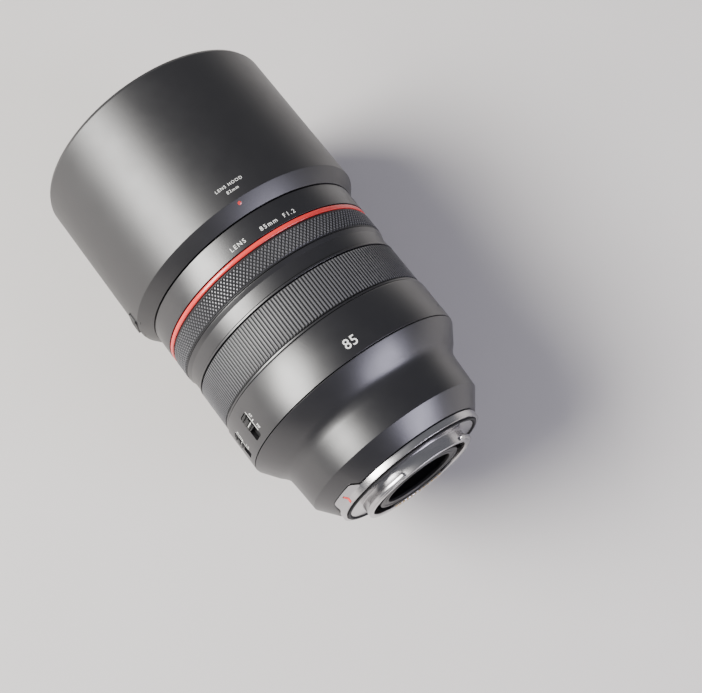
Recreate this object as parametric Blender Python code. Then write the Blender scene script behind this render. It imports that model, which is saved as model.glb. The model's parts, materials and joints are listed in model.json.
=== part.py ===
"""A fast prime camera lens with its hood, built as separate pieces that fit and move.

The optical axis is the Y axis. The origin is the centre of the mount's flange, which is the
face that seats on a camera. The front of the lens looks toward -Y, the bayonet points toward
+Y, and +Z is the top, where the focal length is printed. Every size below is in millimetres:
a station is a distance forward from the flange, a radius is taken from the optical axis, and
a turn is an angle in degrees from the top toward +X.
"""

import math

import bmesh
import bpy
from mathutils import Matrix, Vector

MM = 0.001

# Facets of the turned pieces. Both are multiples of four, so each piece keeps its full width.
RING_STEPS = 36
GLASS_STEPS = 24

# Lengths along the optical axis, rear to front.
COLLAR_LENGTH = 3.2
REAR_COVER_LENGTH = 35.5
SWITCH_BARREL_LENGTH = 19.5
FOCUS_RING_LENGTH = 20.7
MIDDLE_RING_LENGTH = 7.9
CONTROL_RING_LENGTH = 10.1
RED_RING_LENGTH = 2.1
FRONT_BARREL_LENGTH = 11.1
HOOD_SEAT_LENGTH = 5.1
HOOD_LENGTH = 75.6

# Radii of the outer shape.
MOUNT_RADIUS = 34.6
WAIST_RADIUS = 42.4
BARREL_RADIUS = 51.4
FRONT_RISE = 0.2
HOOD_FLARE = 5.0

# Walls and clearances.
SEAM = 0.3
SEAT_GAP = 0.3
RUNNING_GAP = 0.5
SHELL_WALL = 1.8
CONE_WALL = 2.2
TUBE_WALL = 1.5
PLATE_WALL = 1.2
OVERRUN = 2.0

# Rear cover: the cone behind the waist, and the flared shoulder in front of it.
CONE_RADIUS = 35.5
CONE_LENGTH = 7.9
CONE_TOP_DROP = 0.8
SHOULDER_RUN = 7.5
FILLET_RUN = 7.5
FILLET_RISE = 3.6

# Camera mount.
PLATE_RADIUS = 31.3
PLATE_THICKNESS = 1.6
THROAT_TUBE_RADIUS = 25.6
THROAT_TUBE_WALL = 2.2
THROAT_TUBE_LENGTH = 5.3
LUG_HEIGHT = 1.3
LUG_REAR = 4.8
LUG_FRONT = 3.2
SCREW_COUNT = 4
SCREW_CIRCLE = 28.6
SCREW_SHANK = 0.8
SCREW_HEAD = 1.7
SCREW_HEAD_HEIGHT = 0.7
SCREW_LENGTH = 3.6
SCREW_CLEARANCE = 0.35
SEAL_WIDTH = 1.4
TAB_TURNS = (47.5, 82.5)
TAB_LENGTH = 2.3
TAB_PROUD = 0.2
INDEX_TURN = 62.8
INDEX_STATION = 2.2
INDEX_SIZE = (2.4, 1.0, 0.5)
INSERT_DEPTH = 0.7
INSERT_PROUD = 0.1

# Contacts of the mount.
CONTACT_TURNS = (145.0, 215.0)
CONTACT_COUNT = 12
CONTACT_LENGTH = 1.7
CONTACT_ROOT = 0.5
CONTACT_INSET = 0.6
BLOCK_WIDTH = 3.0

# Switches on the side of the barrel.
SWITCH_TURNS = {"af_mf": 62.8, "limiter": 82.0}
SWITCH_WINDOW = (11.5, 5.0)
SWITCH_KNOB_LENGTH = 6.5
SWITCH_PROUD = 0.6
SWITCH_MARGIN = 2.7

# Barrel internals, each counted inward from the barrel radius.
MAIN_BARREL_DROP = 3.8
MAIN_BARREL_WALL = 1.4
CAM_DROP = 7.2
CAM_WALL = 1.7
GUIDE_WALL = 1.5
REAR_TUBE_RADIUS = 31.4
REAR_TUBE_WALL = 1.6
REAR_FLANGE_BORE = 24.2
REAR_CELL_WALL = 1.8
TAIL_LENGTH = 15.0
TAIL_STEP = 7.0
GLASS_FIT = 0.4

# Focusing movement.
FOCUS_TRAVEL = 8.0
CAM_TURN = 80.0
FOLLOWER_COUNT = 3
FOLLOWER_RADIUS = 1.8
FOLLOWER_PLAY = 0.35

# Iris.
BLADE_COUNT = 9
BLADE_SWING = 36.0
DRIVE_TURN = 24.0
BLADE_THICKNESS = 0.2
BLADE_PITCH = 0.4
BLADE_SPAN = 112.0
PIN_RADIUS = 0.7
PIN_PLAY = 0.35
PIN_ARC = 11.0
PIVOT_INSET = 3.9
BLADE_OUTER_INSET = 1.6
BLADE_WIDTH = 10.1
TAB_HEIGHT = 1.5
IRIS_LIP = 3.5
IRIS_WALL = 1.4

# Hood.
HOOD_WALL = 2.0
HOOD_BEVEL = 5.7
HOOD_COLLAR_RISE = 0.4
HOOD_BORE_GAP = 0.4
BAYONET_DEPTH = 3.4
HOOD_LUG_SWEEP = 50.0
HOOD_LUG_LENGTH = 1.6
LINING_THICKNESS = 0.5
DOT_RADIUS = 0.9
DOT_INSET = 4.1
BUTTON_TURN = 90.0
BUTTON_SIZE = (6.0, 12.0)
BUTTON_INSET = 6.0
BUTTON_PROUD = 0.5
BUTTON_HEIGHT = 3.6
BUTTON_TRAVEL = 1.0
BUTTON_PLAY = 0.4
BUTTON_SPRING_HEIGHT = 0.5
BUTTON_SPRING_GAP = 0.2
BOSS_FLOOR = 1.2
BOSS_MARGIN = 2.0

# Stations worked out from the lengths.
COLLAR_FRONT = COLLAR_LENGTH
COVER_REAR = COLLAR_FRONT + SEAM
COVER_FRONT = COVER_REAR + REAR_COVER_LENGTH
SWITCH_REAR = COVER_FRONT + SEAM
SWITCH_FRONT = SWITCH_REAR + SWITCH_BARREL_LENGTH
FOCUS_REAR = SWITCH_FRONT + SEAM
FOCUS_FRONT = FOCUS_REAR + FOCUS_RING_LENGTH
MIDDLE_REAR = FOCUS_FRONT + SEAM
MIDDLE_FRONT = MIDDLE_REAR + MIDDLE_RING_LENGTH
CONTROL_REAR = MIDDLE_FRONT + SEAM
CONTROL_FRONT = CONTROL_REAR + CONTROL_RING_LENGTH
RED_REAR = CONTROL_FRONT + SEAM
RED_FRONT = RED_REAR + RED_RING_LENGTH
NAME_REAR = RED_FRONT + SEAM
NAME_FRONT = NAME_REAR + FRONT_BARREL_LENGTH
LENS_FRONT = NAME_FRONT + HOOD_SEAT_LENGTH
HOOD_REAR = NAME_FRONT + SEAM
HOOD_FRONT = HOOD_REAR + HOOD_LENGTH

# Radii worked out from the barrel radius.
SHELL_BORE = BARREL_RADIUS - SHELL_WALL
FRONT_RADIUS = BARREL_RADIUS + FRONT_RISE
MAIN_RADIUS = BARREL_RADIUS - MAIN_BARREL_DROP
MAIN_BORE = MAIN_RADIUS - MAIN_BARREL_WALL
RIDER_BORE = MAIN_RADIUS + RUNNING_GAP
CAM_RADIUS = BARREL_RADIUS - CAM_DROP
CAM_BORE = CAM_RADIUS - CAM_WALL
GUIDE_RADIUS = CAM_BORE - RUNNING_GAP
GUIDE_BORE = GUIDE_RADIUS - GUIDE_WALL
CELL_RADIUS = GUIDE_BORE - RUNNING_GAP
CELL_BORE = CELL_RADIUS - TUBE_WALL
REAR_TUBE_BORE = REAR_TUBE_RADIUS - REAR_TUBE_WALL
REAR_CELL_RADIUS = REAR_TUBE_BORE - RUNNING_GAP
REAR_CELL_BORE = REAR_CELL_RADIUS - REAR_CELL_WALL
HOOD_RADIUS = BARREL_RADIUS + HOOD_FLARE
HOOD_BORE = HOOD_RADIUS - HOOD_WALL
SEAT_RADIUS = FRONT_RADIUS - BAYONET_DEPTH
SEAT_LUG_RADIUS = SEAT_RADIUS + LUG_HEIGHT
HOOD_COLLAR_BORE = SEAT_LUG_RADIUS + HOOD_BORE_GAP

# Stations of the pieces inside.
REAR_FLANGE = (PLATE_THICKNESS + SEAT_GAP, 4.3)
REAR_TUBE_FRONT = COVER_FRONT - 1.3
GUIDE_REAR = REAR_TUBE_FRONT + SEAT_GAP
MAIN_REAR = SWITCH_REAR + 0.9
IRIS_REAR = FOCUS_REAR - 3.5
IRIS_FLOOR = IRIS_REAR + PLATE_WALL
FIRST_BLADE = IRIS_FLOOR + SEAT_GAP
LAST_BLADE = FIRST_BLADE + (BLADE_COUNT - 1) * BLADE_PITCH + BLADE_THICKNESS
DRIVE_REAR = LAST_BLADE + BLADE_PITCH
DRIVE_FRONT = DRIVE_REAR + PLATE_WALL
IRIS_COVER_REAR = DRIVE_FRONT + BLADE_PITCH
IRIS_FRONT = IRIS_COVER_REAR + 0.8
FOCUS_CELL_REAR = IRIS_FRONT + 0.8
FOCUS_CELL_LENGTH = 12.0
FRONT_CELL_LENGTH = 23.0
FRONT_CELL_REAR = FOCUS_CELL_REAR + FOCUS_CELL_LENGTH + FOCUS_TRAVEL + 0.6
FOLLOWER_STATION = FOCUS_CELL_REAR + FOCUS_CELL_LENGTH / 2
CAM_REAR = FOCUS_REAR - 0.2
CAM_FRONT = FRONT_CELL_REAR + OVERRUN

# Radii of the iris, counted inward from the guide barrel's bore.
IRIS_RADIUS = GUIDE_BORE - SEAT_GAP
IRIS_CHAMBER = IRIS_RADIUS - IRIS_WALL
PIVOT_RADIUS = GUIDE_BORE - PIVOT_INSET
BLADE_OUTER = PIVOT_RADIUS - BLADE_OUTER_INSET
BLADE_INNER = BLADE_OUTER - BLADE_WIDTH
IRIS_OPENING = REAR_CELL_BORE - IRIS_LIP


def clear_scene():
    """Remove every object, so the script can be run again in the same file."""
    for item in list(bpy.data.objects):
        bpy.data.objects.remove(item, do_unlink=True)


def finish(name, colour, roughness, metallic=0.0, alpha=1.0):
    """Return a Principled material with one plain colour."""
    made = bpy.data.materials.new(name)
    made.use_nodes = True
    shader = made.node_tree.nodes["Principled BSDF"]
    shader.inputs["Base Color"].default_value = (*colour, 1.0)
    shader.inputs["Roughness"].default_value = roughness
    shader.inputs["Metallic"].default_value = metallic
    shader.inputs["Alpha"].default_value = alpha
    return made


def black_paint(name):
    """Return the satin black of the barrel shells."""
    return finish(name, (0.018, 0.018, 0.02), 0.42)


def black_plastic(name):
    """Return the matte black of moulded inner pieces."""
    return finish(name, (0.02, 0.02, 0.022), 0.6)


def satin_metal(name):
    """Return the pale satin metal of the mount."""
    return finish(name, (0.62, 0.62, 0.64), 0.3, 1.0)


def machined_alloy(name):
    """Return the grey machined alloy of the inner tubes."""
    return finish(name, (0.3, 0.3, 0.31), 0.45, 1.0)


def optical_glass(name):
    """Return clear coated glass."""
    return finish(name, (0.55, 0.62, 0.68), 0.05, 0.0, 0.35)


def red_enamel(name):
    """Return the red of the ring and the index marks."""
    return finish(name, (0.62, 0.04, 0.03), 0.3)


def point_at(station, radius, turn):
    """Return the place at a station, a radius and a turn, in metres."""
    angle = math.radians(turn)
    return Vector((radius * math.sin(angle), -station, radius * math.cos(angle))) * MM


def keep(name, bm, look, origin=None):
    """Turn a bmesh, whose places are in metres, into a named object with its origin set."""
    bmesh.ops.remove_doubles(bm, verts=bm.verts, dist=1e-6)
    bmesh.ops.recalc_face_normals(bm, faces=bm.faces)
    place = origin or Vector((0.0, 0.0, 0.0))
    bmesh.ops.translate(bm, verts=bm.verts, vec=-place)
    mesh = bpy.data.meshes.new(name)
    bm.to_mesh(mesh)
    bm.free()
    made = bpy.data.objects.new(name, mesh)
    made.location = place
    bpy.context.collection.objects.link(made)
    if look:
        mesh.materials.append(look)
        mesh.shade_smooth()
        mesh.set_sharp_from_angle(angle=math.radians(30.0))
    return made


def turned_bmesh(outline, steps):
    """Spin an outline of (station, radius) points about the optical axis.

    An outline that starts and ends on the axis makes a solid disc, and any other is closed
    into a ring.
    """
    bm = bmesh.new()
    verts = [bm.verts.new(point_at(station, radius, 0.0)) for station, radius in outline]
    edges = [bm.edges.new(pair) for pair in zip(verts, verts[1:])]
    if outline[0][1] > 0.0:
        edges.append(bm.edges.new((verts[-1], verts[0])))
    bmesh.ops.spin(
        bm, geom=verts + edges, cent=(0.0, 0.0, 0.0), axis=(0.0, 1.0, 0.0),
        angle=math.tau, steps=steps, use_merge=True,
    )
    return bm


def turned(name, outline, look, steps=RING_STEPS):
    """Make a piece that is round about the optical axis."""
    return keep(name, turned_bmesh(outline, steps), look)


def tube(name, rear, front, bore, radius, look):
    """Make a plain tube between two stations."""
    return turned(name, [(rear, bore), (rear, radius), (front, radius), (front, bore)], look)


def raise_faces(bm, stations, radius, sectors, shift):
    """Push out the faces of a turned shape that lie in the given stations and sectors.

    A face is chosen when its middle lies between the two stations, within half a millimetre of
    the radius, and inside one of the sectors of turns. Each of its corners moves by
    shift(corner), which takes and returns (station, radius).
    """
    for low, high in sectors:
        chosen = []
        for face in bm.faces:
            middle = face.calc_center_median() / MM
            reach = math.hypot(middle.x, middle.z)
            turn = math.degrees(math.atan2(middle.x, middle.z)) % 360.0
            inside = low < turn < high and stations[0] < -middle.y < stations[1]
            if inside and abs(reach - radius) < 0.5:
                chosen.append(face)
        made = bmesh.ops.extrude_face_region(bm, geom=chosen)["geom"]
        bmesh.ops.delete(bm, geom=chosen, context="FACES")
        for vert in made:
            if isinstance(vert, bmesh.types.BMVert):
                place = vert.co / MM
                reach = math.hypot(place.x, place.z)
                turn = math.degrees(math.atan2(place.x, place.z))
                vert.co = point_at(*shift((-place.y, reach)), turn)


def strip(name, left, right, low, high, place, look, origin=None):
    """Make a solid band from two matching rows of flat points.

    place(point, level) gives the position in metres, and the band runs from level low to
    level high.
    """
    bm = bmesh.new()
    rows = [
        [bm.verts.new(place(point, level)) for point in row]
        for level in (low, high) for row in (left, right)
    ]
    low_left, low_right, high_left, high_right = rows
    last = len(left) - 1
    for i in range(last):
        bm.faces.new((low_left[i], low_left[i + 1], low_right[i + 1], low_right[i]))
        bm.faces.new((high_left[i], high_right[i], high_right[i + 1], high_left[i + 1]))
        bm.faces.new((low_left[i], high_left[i], high_left[i + 1], low_left[i + 1]))
        bm.faces.new((low_right[i], low_right[i + 1], high_right[i + 1], high_right[i]))
    bm.faces.new((low_left[0], low_right[0], high_right[0], high_left[0]))
    bm.faces.new((low_left[last], high_left[last], high_right[last], low_right[last]))
    return keep(name, bm, look, origin)


def sides_of(path, width):
    """Return the two edges of a flat track of one width that follows a path of points."""
    left = []
    right = []
    for i, point in enumerate(path):
        before = Vector(path[max(i - 1, 0)])
        after = Vector(path[min(i + 1, len(path) - 1)])
        along = (after - before).normalized()
        across = Vector((-along.y, along.x)) * (width / 2)
        left.append(Vector(point) + across)
        right.append(Vector(point) - across)
    return left, right


def lengthened(path, reach):
    """Return a path whose two ends run on by a reach."""
    first = Vector(path[0])
    last = Vector(path[-1])
    start = first + (first - Vector(path[1])).normalized() * reach
    end = last + (last - Vector(path[-2])).normalized() * reach
    return [start, *path[1:-1], end]


def around(radius_at_level):
    """Return a placing of (arc length, station) points on a cylinder, by radius."""
    def place(point, level):
        turn = math.degrees(point[0] / radius_at_level)
        return point_at(point[1], level, turn)
    return place


def facing(point, level):
    """Place an (x, z) point of the front view at a station."""
    return Vector((point[0], -level, point[1])) * MM


def block(name, size, station, radius, turn, look):
    """Make a box of (axial, tangential, radial) size, centred at a place and squared to it."""
    axial, tangential, radial = size
    bm = bmesh.new()
    bmesh.ops.create_cube(bm, size=1.0)
    scale = Matrix.Diagonal((tangential * MM, axial * MM, radial * MM, 1.0))
    spin = Matrix.Rotation(math.radians(turn), 4, "Y")
    centre = point_at(station, radius, turn)
    bmesh.ops.transform(bm, matrix=Matrix.Translation(centre) @ spin @ scale, verts=bm.verts)
    return keep(name, bm, look, centre)


def rod(name, radius, start, end, sides, look, origin=None):
    """Make a round bar between two places given in metres."""
    along = end - start
    bm = bmesh.new()
    bmesh.ops.create_cone(
        bm, cap_ends=True, segments=sides, radius1=radius * MM, radius2=radius * MM,
        depth=along.length,
    )
    square = along.to_track_quat("Z", "Y").to_matrix().to_4x4()
    shift = Matrix.Translation((start + end) / 2)
    bmesh.ops.transform(bm, matrix=shift @ square, verts=bm.verts)
    return keep(name, bm, look, origin)


def hide(tool):
    """Mark a shape as a tool that isn't part of the lens."""
    tool.hide_render = True
    tool.display_type = "WIRE"


def cut(piece, tool):
    """Take a tool's shape out of a piece."""
    hide(tool)
    step = piece.modifiers.new(tool.name, "BOOLEAN")
    step.operation = "DIFFERENCE"
    step.solver = "EXACT"
    step.object = tool


def weld(piece, tool):
    """Add a tool's shape to a piece."""
    hide(tool)
    step = piece.modifiers.new(tool.name, "BOOLEAN")
    step.operation = "UNION"
    step.solver = "EXACT"
    step.object = tool


def carry(parent_name, place, pieces):
    """Hang pieces that move together on an empty that sits on their axis."""
    holder = bpy.data.objects.new(parent_name, None)
    holder.location = place
    bpy.context.collection.objects.link(holder)
    for piece in pieces:
        piece.parent = holder
        piece.matrix_parent_inverse = Matrix.Translation(-place)
    return holder


def even_turns(count, start=0.0):
    """Return equally spaced turns."""
    return [start + 360.0 * i / count for i in range(count)]


def make_mount():
    """Make the bayonet, the collar with its index tab, the seal and the four screws."""
    rear = -THROAT_TUBE_LENGTH
    bore = THROAT_TUBE_RADIUS - THROAT_TUBE_WALL
    shape = turned_bmesh(
        [
            (rear, bore), (rear, THROAT_TUBE_RADIUS), (-LUG_REAR, THROAT_TUBE_RADIUS),
            (-LUG_FRONT, THROAT_TUBE_RADIUS), (0.0, THROAT_TUBE_RADIUS), (0.0, PLATE_RADIUS),
            (PLATE_THICKNESS, PLATE_RADIUS), (PLATE_THICKNESS, bore),
        ],
        RING_STEPS,
    )
    lugs = [(20.0, 70.0), (140.0, 190.0), (260.0, 310.0)]
    raise_faces(
        shape, (-LUG_REAR, -LUG_FRONT), THROAT_TUBE_RADIUS, lugs,
        lambda corner: (corner[0], corner[1] + LUG_HEIGHT),
    )
    bayonet = keep("bayonet_mount", shape, satin_metal("bayonet_mount"))

    seal_bore = PLATE_RADIUS + SEAT_GAP
    seal_radius = seal_bore + SEAL_WIDTH
    web_rear = PLATE_THICKNESS
    tube("mount_seal", -0.5, web_rear - SEAT_GAP, seal_bore, seal_radius,
         finish("mount_seal", (0.012, 0.012, 0.012), 0.8))

    web_bore = REAR_TUBE_RADIUS + 0.6
    shape = turned_bmesh(
        [
            (SEAT_GAP, seal_radius + SEAT_GAP), (SEAT_GAP, MOUNT_RADIUS),
            (COLLAR_FRONT, MOUNT_RADIUS), (COLLAR_FRONT, web_bore), (web_rear, web_bore),
            (web_rear, seal_radius + SEAT_GAP),
        ],
        RING_STEPS,
    )
    middle = (web_bore + MOUNT_RADIUS) / 2
    tip = COLLAR_FRONT + TAB_LENGTH
    rise = cone_radius_at(tip) + TAB_PROUD - MOUNT_RADIUS
    raise_faces(
        shape, (COLLAR_FRONT - 0.1, COLLAR_FRONT + 0.1), middle, [TAB_TURNS],
        lambda corner: (tip, corner[1] + rise),
    )
    collar = keep("mount_collar", shape, satin_metal("mount_collar"))
    along, across, thickness = INDEX_SIZE
    block("mount_index_bead", INDEX_SIZE, INDEX_STATION,
          MOUNT_RADIUS + INSERT_PROUD - thickness / 2, INDEX_TURN, red_enamel("mount_index_bead"))
    pocket_size = (along + 2 * SEAT_GAP, across + 2 * SEAT_GAP, 2 * INSERT_DEPTH)
    pocket = block("bead_pocket", pocket_size, INDEX_STATION, MOUNT_RADIUS, INDEX_TURN, None)
    cut(collar, pocket)

    for i, turn in enumerate(even_turns(SCREW_COUNT, 45.0), 1):
        centre_rear = point_at(-OVERRUN, SCREW_CIRCLE, turn)
        seat = point_at(SCREW_HEAD_HEIGHT, SCREW_CIRCLE, turn)
        far = point_at(REAR_FLANGE[1] + OVERRUN, SCREW_CIRCLE, turn)
        cut(bayonet, rod(f"head_hole_{i}", SCREW_HEAD + SCREW_CLEARANCE, centre_rear,
                         point_at(SCREW_HEAD_HEIGHT + SEAT_GAP, SCREW_CIRCLE, turn), 12, None))
        cut(bayonet, rod(f"plate_hole_{i}", SCREW_SHANK + SCREW_CLEARANCE, centre_rear, far,
                         8, None))
        look = finish(f"mount_screw_{i}", (0.4, 0.4, 0.42), 0.3, 1.0)
        screw = rod(f"mount_screw_{i}", SCREW_HEAD, point_at(0.0, SCREW_CIRCLE, turn), seat,
                    12, look)
        shank = rod(f"shank_{i}", SCREW_SHANK, point_at(0.1, SCREW_CIRCLE, turn),
                    point_at(SCREW_LENGTH, SCREW_CIRCLE, turn), 8, None)
        weld(screw, shank)
    return bayonet


def cone_radius_at(station):
    """Return the rear cover's outer radius on its cone."""
    top = WAIST_RADIUS - CONE_TOP_DROP
    share = (station - COVER_REAR) / CONE_LENGTH
    return CONE_RADIUS + (top - CONE_RADIUS) * share


def make_rear_end():
    """Make the baffle, the contacts and the circuit board behind the rear cover."""
    bore = THROAT_TUBE_RADIUS - THROAT_TUBE_WALL
    block_radius = bore - SEAT_GAP - 0.1
    block_bore = block_radius - BLOCK_WIDTH
    baffle_radius = block_bore - SEAT_GAP
    turned(
        "rear_baffle",
        [
            (-4.6, baffle_radius - 4.0), (-4.6, baffle_radius), (PLATE_WALL, baffle_radius),
            (PLATE_WALL, baffle_radius - 1.0), (-3.4, baffle_radius - 1.0),
            (-3.4, baffle_radius - 4.0),
        ],
        black_plastic("rear_baffle"),
    )
    low, high = CONTACT_TURNS
    turns = [low + (high - low) * i / 8 for i in range(9)]
    strip(
        "contact_block", [(turn, block_bore) for turn in turns],
        [(turn, block_radius) for turn in turns], -5.0, 1.4,
        lambda point, level: point_at(level, point[1], point[0]),
        finish("contact_block", (0.02, 0.02, 0.02), 0.5),
    )
    pitch = (high - low) / CONTACT_COUNT
    comb_bore = block_bore + CONTACT_INSET
    comb_turns = []
    comb_edge = []
    for i in range(CONTACT_COUNT):
        start = low + pitch * (i + 0.2)
        for turn in (start, start + pitch * 0.55):
            comb_turns.append(turn)
            comb_edge.append((turn, comb_bore + CONTACT_LENGTH))
        if i < CONTACT_COUNT - 1:
            for turn in (start + pitch * 0.56, start + pitch * 0.99):
                comb_turns.append(turn)
                comb_edge.append((turn, comb_bore + CONTACT_ROOT))
    strip(
        "contact_strip", [(turn, comb_bore) for turn in comb_turns], comb_edge,
        -5.6, -5.3, lambda point, level: point_at(level, point[1], point[0]),
        finish("contact_strip", (0.75, 0.55, 0.22), 0.25, 1.0),
    )
    board_rear = COVER_REAR + 4.0
    board_radius = cone_radius_at(board_rear) - CONE_WALL - 2 * SEAT_GAP
    tube("main_board", board_rear, board_rear + PLATE_WALL, REAR_TUBE_RADIUS + 0.4,
         board_radius, finish("main_board", (0.02, 0.12, 0.06), 0.5))


def make_rear_cover():
    """Make the black shell that runs from the mount's collar up to the barrel's sharp edge."""
    cone_front = COVER_REAR + CONE_LENGTH
    shoulder_rear = COVER_FRONT - SHOULDER_RUN
    fillet_rear = shoulder_rear - FILLET_RUN
    top = WAIST_RADIUS - CONE_TOP_DROP
    outer = [
        (COVER_REAR, CONE_RADIUS), (cone_front, top), (fillet_rear, WAIST_RADIUS),
        (fillet_rear + FILLET_RUN * 0.4, WAIST_RADIUS + FILLET_RISE * 0.14),
        (fillet_rear + FILLET_RUN * 0.73, WAIST_RADIUS + FILLET_RISE * 0.5),
        (shoulder_rear, WAIST_RADIUS + FILLET_RISE), (COVER_FRONT, BARREL_RADIUS - 0.1),
    ]
    inner = [(station, radius - CONE_WALL) for station, radius in outer]
    look = black_paint("rear_cover")
    cover = turned("rear_cover", outer + inner[::-1], look)
    low, high = TAB_TURNS
    turns = [low - 1.5, low + 10.0, high - 10.0, high + 1.5]
    notch = strip(
        "tab_notch", [(turn, CONE_RADIUS - 2 * CONE_WALL) for turn in turns],
        [(turn, cone_radius_at(COLLAR_FRONT + TAB_LENGTH) + OVERRUN) for turn in turns],
        COVER_REAR - OVERRUN, COLLAR_FRONT + TAB_LENGTH + SEAT_GAP,
        lambda point, level: point_at(level, point[1], point[0]), None,
    )
    cut(cover, notch)


def make_switches():
    """Make the wide barrel, its two sliding switches and the board that they act on."""
    barrel = turned(
        "switch_barrel",
        [
            (SWITCH_REAR, SHELL_BORE), (SWITCH_REAR, BARREL_RADIUS - 0.1),
            (SWITCH_FRONT, BARREL_RADIUS), (SWITCH_FRONT, SHELL_BORE),
        ],
        black_paint("switch_barrel"),
    )
    length, width = SWITCH_WINDOW
    window_rear = SWITCH_REAR + SWITCH_MARGIN
    middle = window_rear + length / 2
    knob_station = window_rear + length - SEAT_GAP - 0.1 - SWITCH_KNOB_LENGTH / 2
    knob_bottom = SHELL_BORE - 0.2
    knob_top = BARREL_RADIUS + SWITCH_PROUD
    for label, turn in SWITCH_TURNS.items():
        window = block(f"{label}_window", (length, width, 4 * SHELL_WALL), middle,
                       BARREL_RADIUS, turn, None)
        cut(barrel, window)
        knob = block(
            f"{label}_knob",
            (SWITCH_KNOB_LENGTH, width - 2 * SEAT_GAP - 0.2, knob_top - knob_bottom),
            knob_station, (knob_top + knob_bottom) / 2, turn, black_plastic(f"{label}_knob"),
        )
        carry(f"{label}_slide", knob.location.copy(), [knob])
    board_bore = MAIN_RADIUS + SEAT_GAP
    board_radius = knob_bottom - 0.3
    turns = [50.0, 60.0, 70.0, 80.0, 90.0, 95.0]
    strip(
        "switch_board", [(turn, board_bore) for turn in turns],
        [(turn, board_radius) for turn in turns], window_rear - 1.0, window_rear + length + 1.0,
        lambda point, level: point_at(level, point[1], point[0]),
        finish("switch_board", (0.02, 0.12, 0.06), 0.5),
    )


def make_inner_barrels():
    """Make the fixed tubes that carry the glass, the motor and the rings."""
    rear, flange_front = REAR_FLANGE
    rear_barrel = turned(
        "rear_barrel",
        [
            (rear, REAR_FLANGE_BORE), (rear, REAR_TUBE_RADIUS - 0.4),
            (flange_front, REAR_TUBE_RADIUS), (REAR_TUBE_FRONT - 1.7, REAR_TUBE_RADIUS),
            (REAR_TUBE_FRONT - 1.7, CELL_RADIUS), (REAR_TUBE_FRONT, CELL_RADIUS),
            (REAR_TUBE_FRONT, REAR_TUBE_BORE), (flange_front, REAR_TUBE_BORE),
            (flange_front, REAR_FLANGE_BORE),
        ],
        machined_alloy("rear_barrel"),
    )
    for i, turn in enumerate(even_turns(SCREW_COUNT, 45.0), 1):
        hole = rod(f"flange_hole_{i}", SCREW_SHANK + SCREW_CLEARANCE,
                   point_at(rear - 0.2, SCREW_CIRCLE, turn),
                   point_at(flange_front + 0.2, SCREW_CIRCLE, turn), 8, None)
        cut(rear_barrel, hole)
    tail_bore = REAR_CELL_BORE - TAIL_STEP
    turned(
        "rear_cell",
        [
            (flange_front + SEAT_GAP, tail_bore), (flange_front + SEAT_GAP, REAR_CELL_RADIUS),
            (IRIS_REAR - 0.4, REAR_CELL_RADIUS), (IRIS_REAR - 0.4, REAR_CELL_BORE),
            (TAIL_LENGTH, REAR_CELL_BORE), (TAIL_LENGTH, tail_bore),
        ],
        black_plastic("rear_cell"),
    )
    guide = tube("guide_barrel", GUIDE_REAR, RED_REAR - 0.7, GUIDE_BORE, GUIDE_RADIUS,
                 machined_alloy("guide_barrel"))
    half = FOLLOWER_RADIUS + FOLLOWER_PLAY
    slot_rear = FOLLOWER_STATION - half
    slot_front = FOLLOWER_STATION + FOCUS_TRAVEL + half
    for i, turn in enumerate(even_turns(FOLLOWER_COUNT, 30.0), 1):
        slot = block(f"guide_slot_{i}", (slot_front - slot_rear, 2 * half, 4 * GUIDE_WALL),
                     (slot_front + slot_rear) / 2, GUIDE_RADIUS, turn, None)
        cut(guide, slot)
    tube("main_barrel", MAIN_REAR, CONTROL_FRONT, MAIN_BORE, MAIN_RADIUS,
         machined_alloy("main_barrel"))
    motor_radius = (REAR_CELL_RADIUS + GUIDE_BORE) / 2
    rod("iris_motor", 3.2, point_at(REAR_TUBE_FRONT + 4.0, motor_radius, 200.0),
        point_at(IRIS_REAR - 0.4, motor_radius, 200.0), 12,
        finish("iris_motor", (0.5, 0.5, 0.5), 0.35, 1.0))


def make_focus_drive():
    """Make the ring motor and the cam barrel that it turns."""
    stator_rear = CAM_REAR - 9.0
    radius = MAIN_BORE - 0.5
    bore = GUIDE_RADIUS + RUNNING_GAP
    tube("usm_stator", stator_rear, stator_rear + 5.0, bore, radius,
         finish("usm_stator", (0.7, 0.55, 0.3), 0.35, 1.0))
    rotor = tube("usm_rotor", stator_rear + 5.3, CAM_REAR - SEAT_GAP, bore, radius,
                 finish("usm_rotor", (0.45, 0.45, 0.47), 0.3, 1.0))
    cam = tube("cam_barrel", CAM_REAR, CAM_FRONT, CAM_BORE, CAM_RADIUS,
               machined_alloy("cam_barrel"))
    middle = (CAM_BORE + CAM_RADIUS) / 2
    for i, turn in enumerate(even_turns(FOLLOWER_COUNT, 30.0), 1):
        path = []
        for step in range(9):
            share = step / 8
            arc = math.radians(turn - CAM_TURN * share) * middle
            path.append(Vector((arc, FOLLOWER_STATION + FOCUS_TRAVEL * share)))
        path = lengthened(path, FOLLOWER_RADIUS + FOLLOWER_PLAY)
        left, right = sides_of(path, 2 * (FOLLOWER_RADIUS + FOLLOWER_PLAY))
        slot = strip(f"cam_slot_{i}", left, right, CAM_BORE - OVERRUN, CAM_RADIUS + OVERRUN,
                     around(middle), None)
        cut(cam, slot)
    carry("focus_drive_axis", Vector((0.0, 0.0, 0.0)), [rotor, cam])


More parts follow.
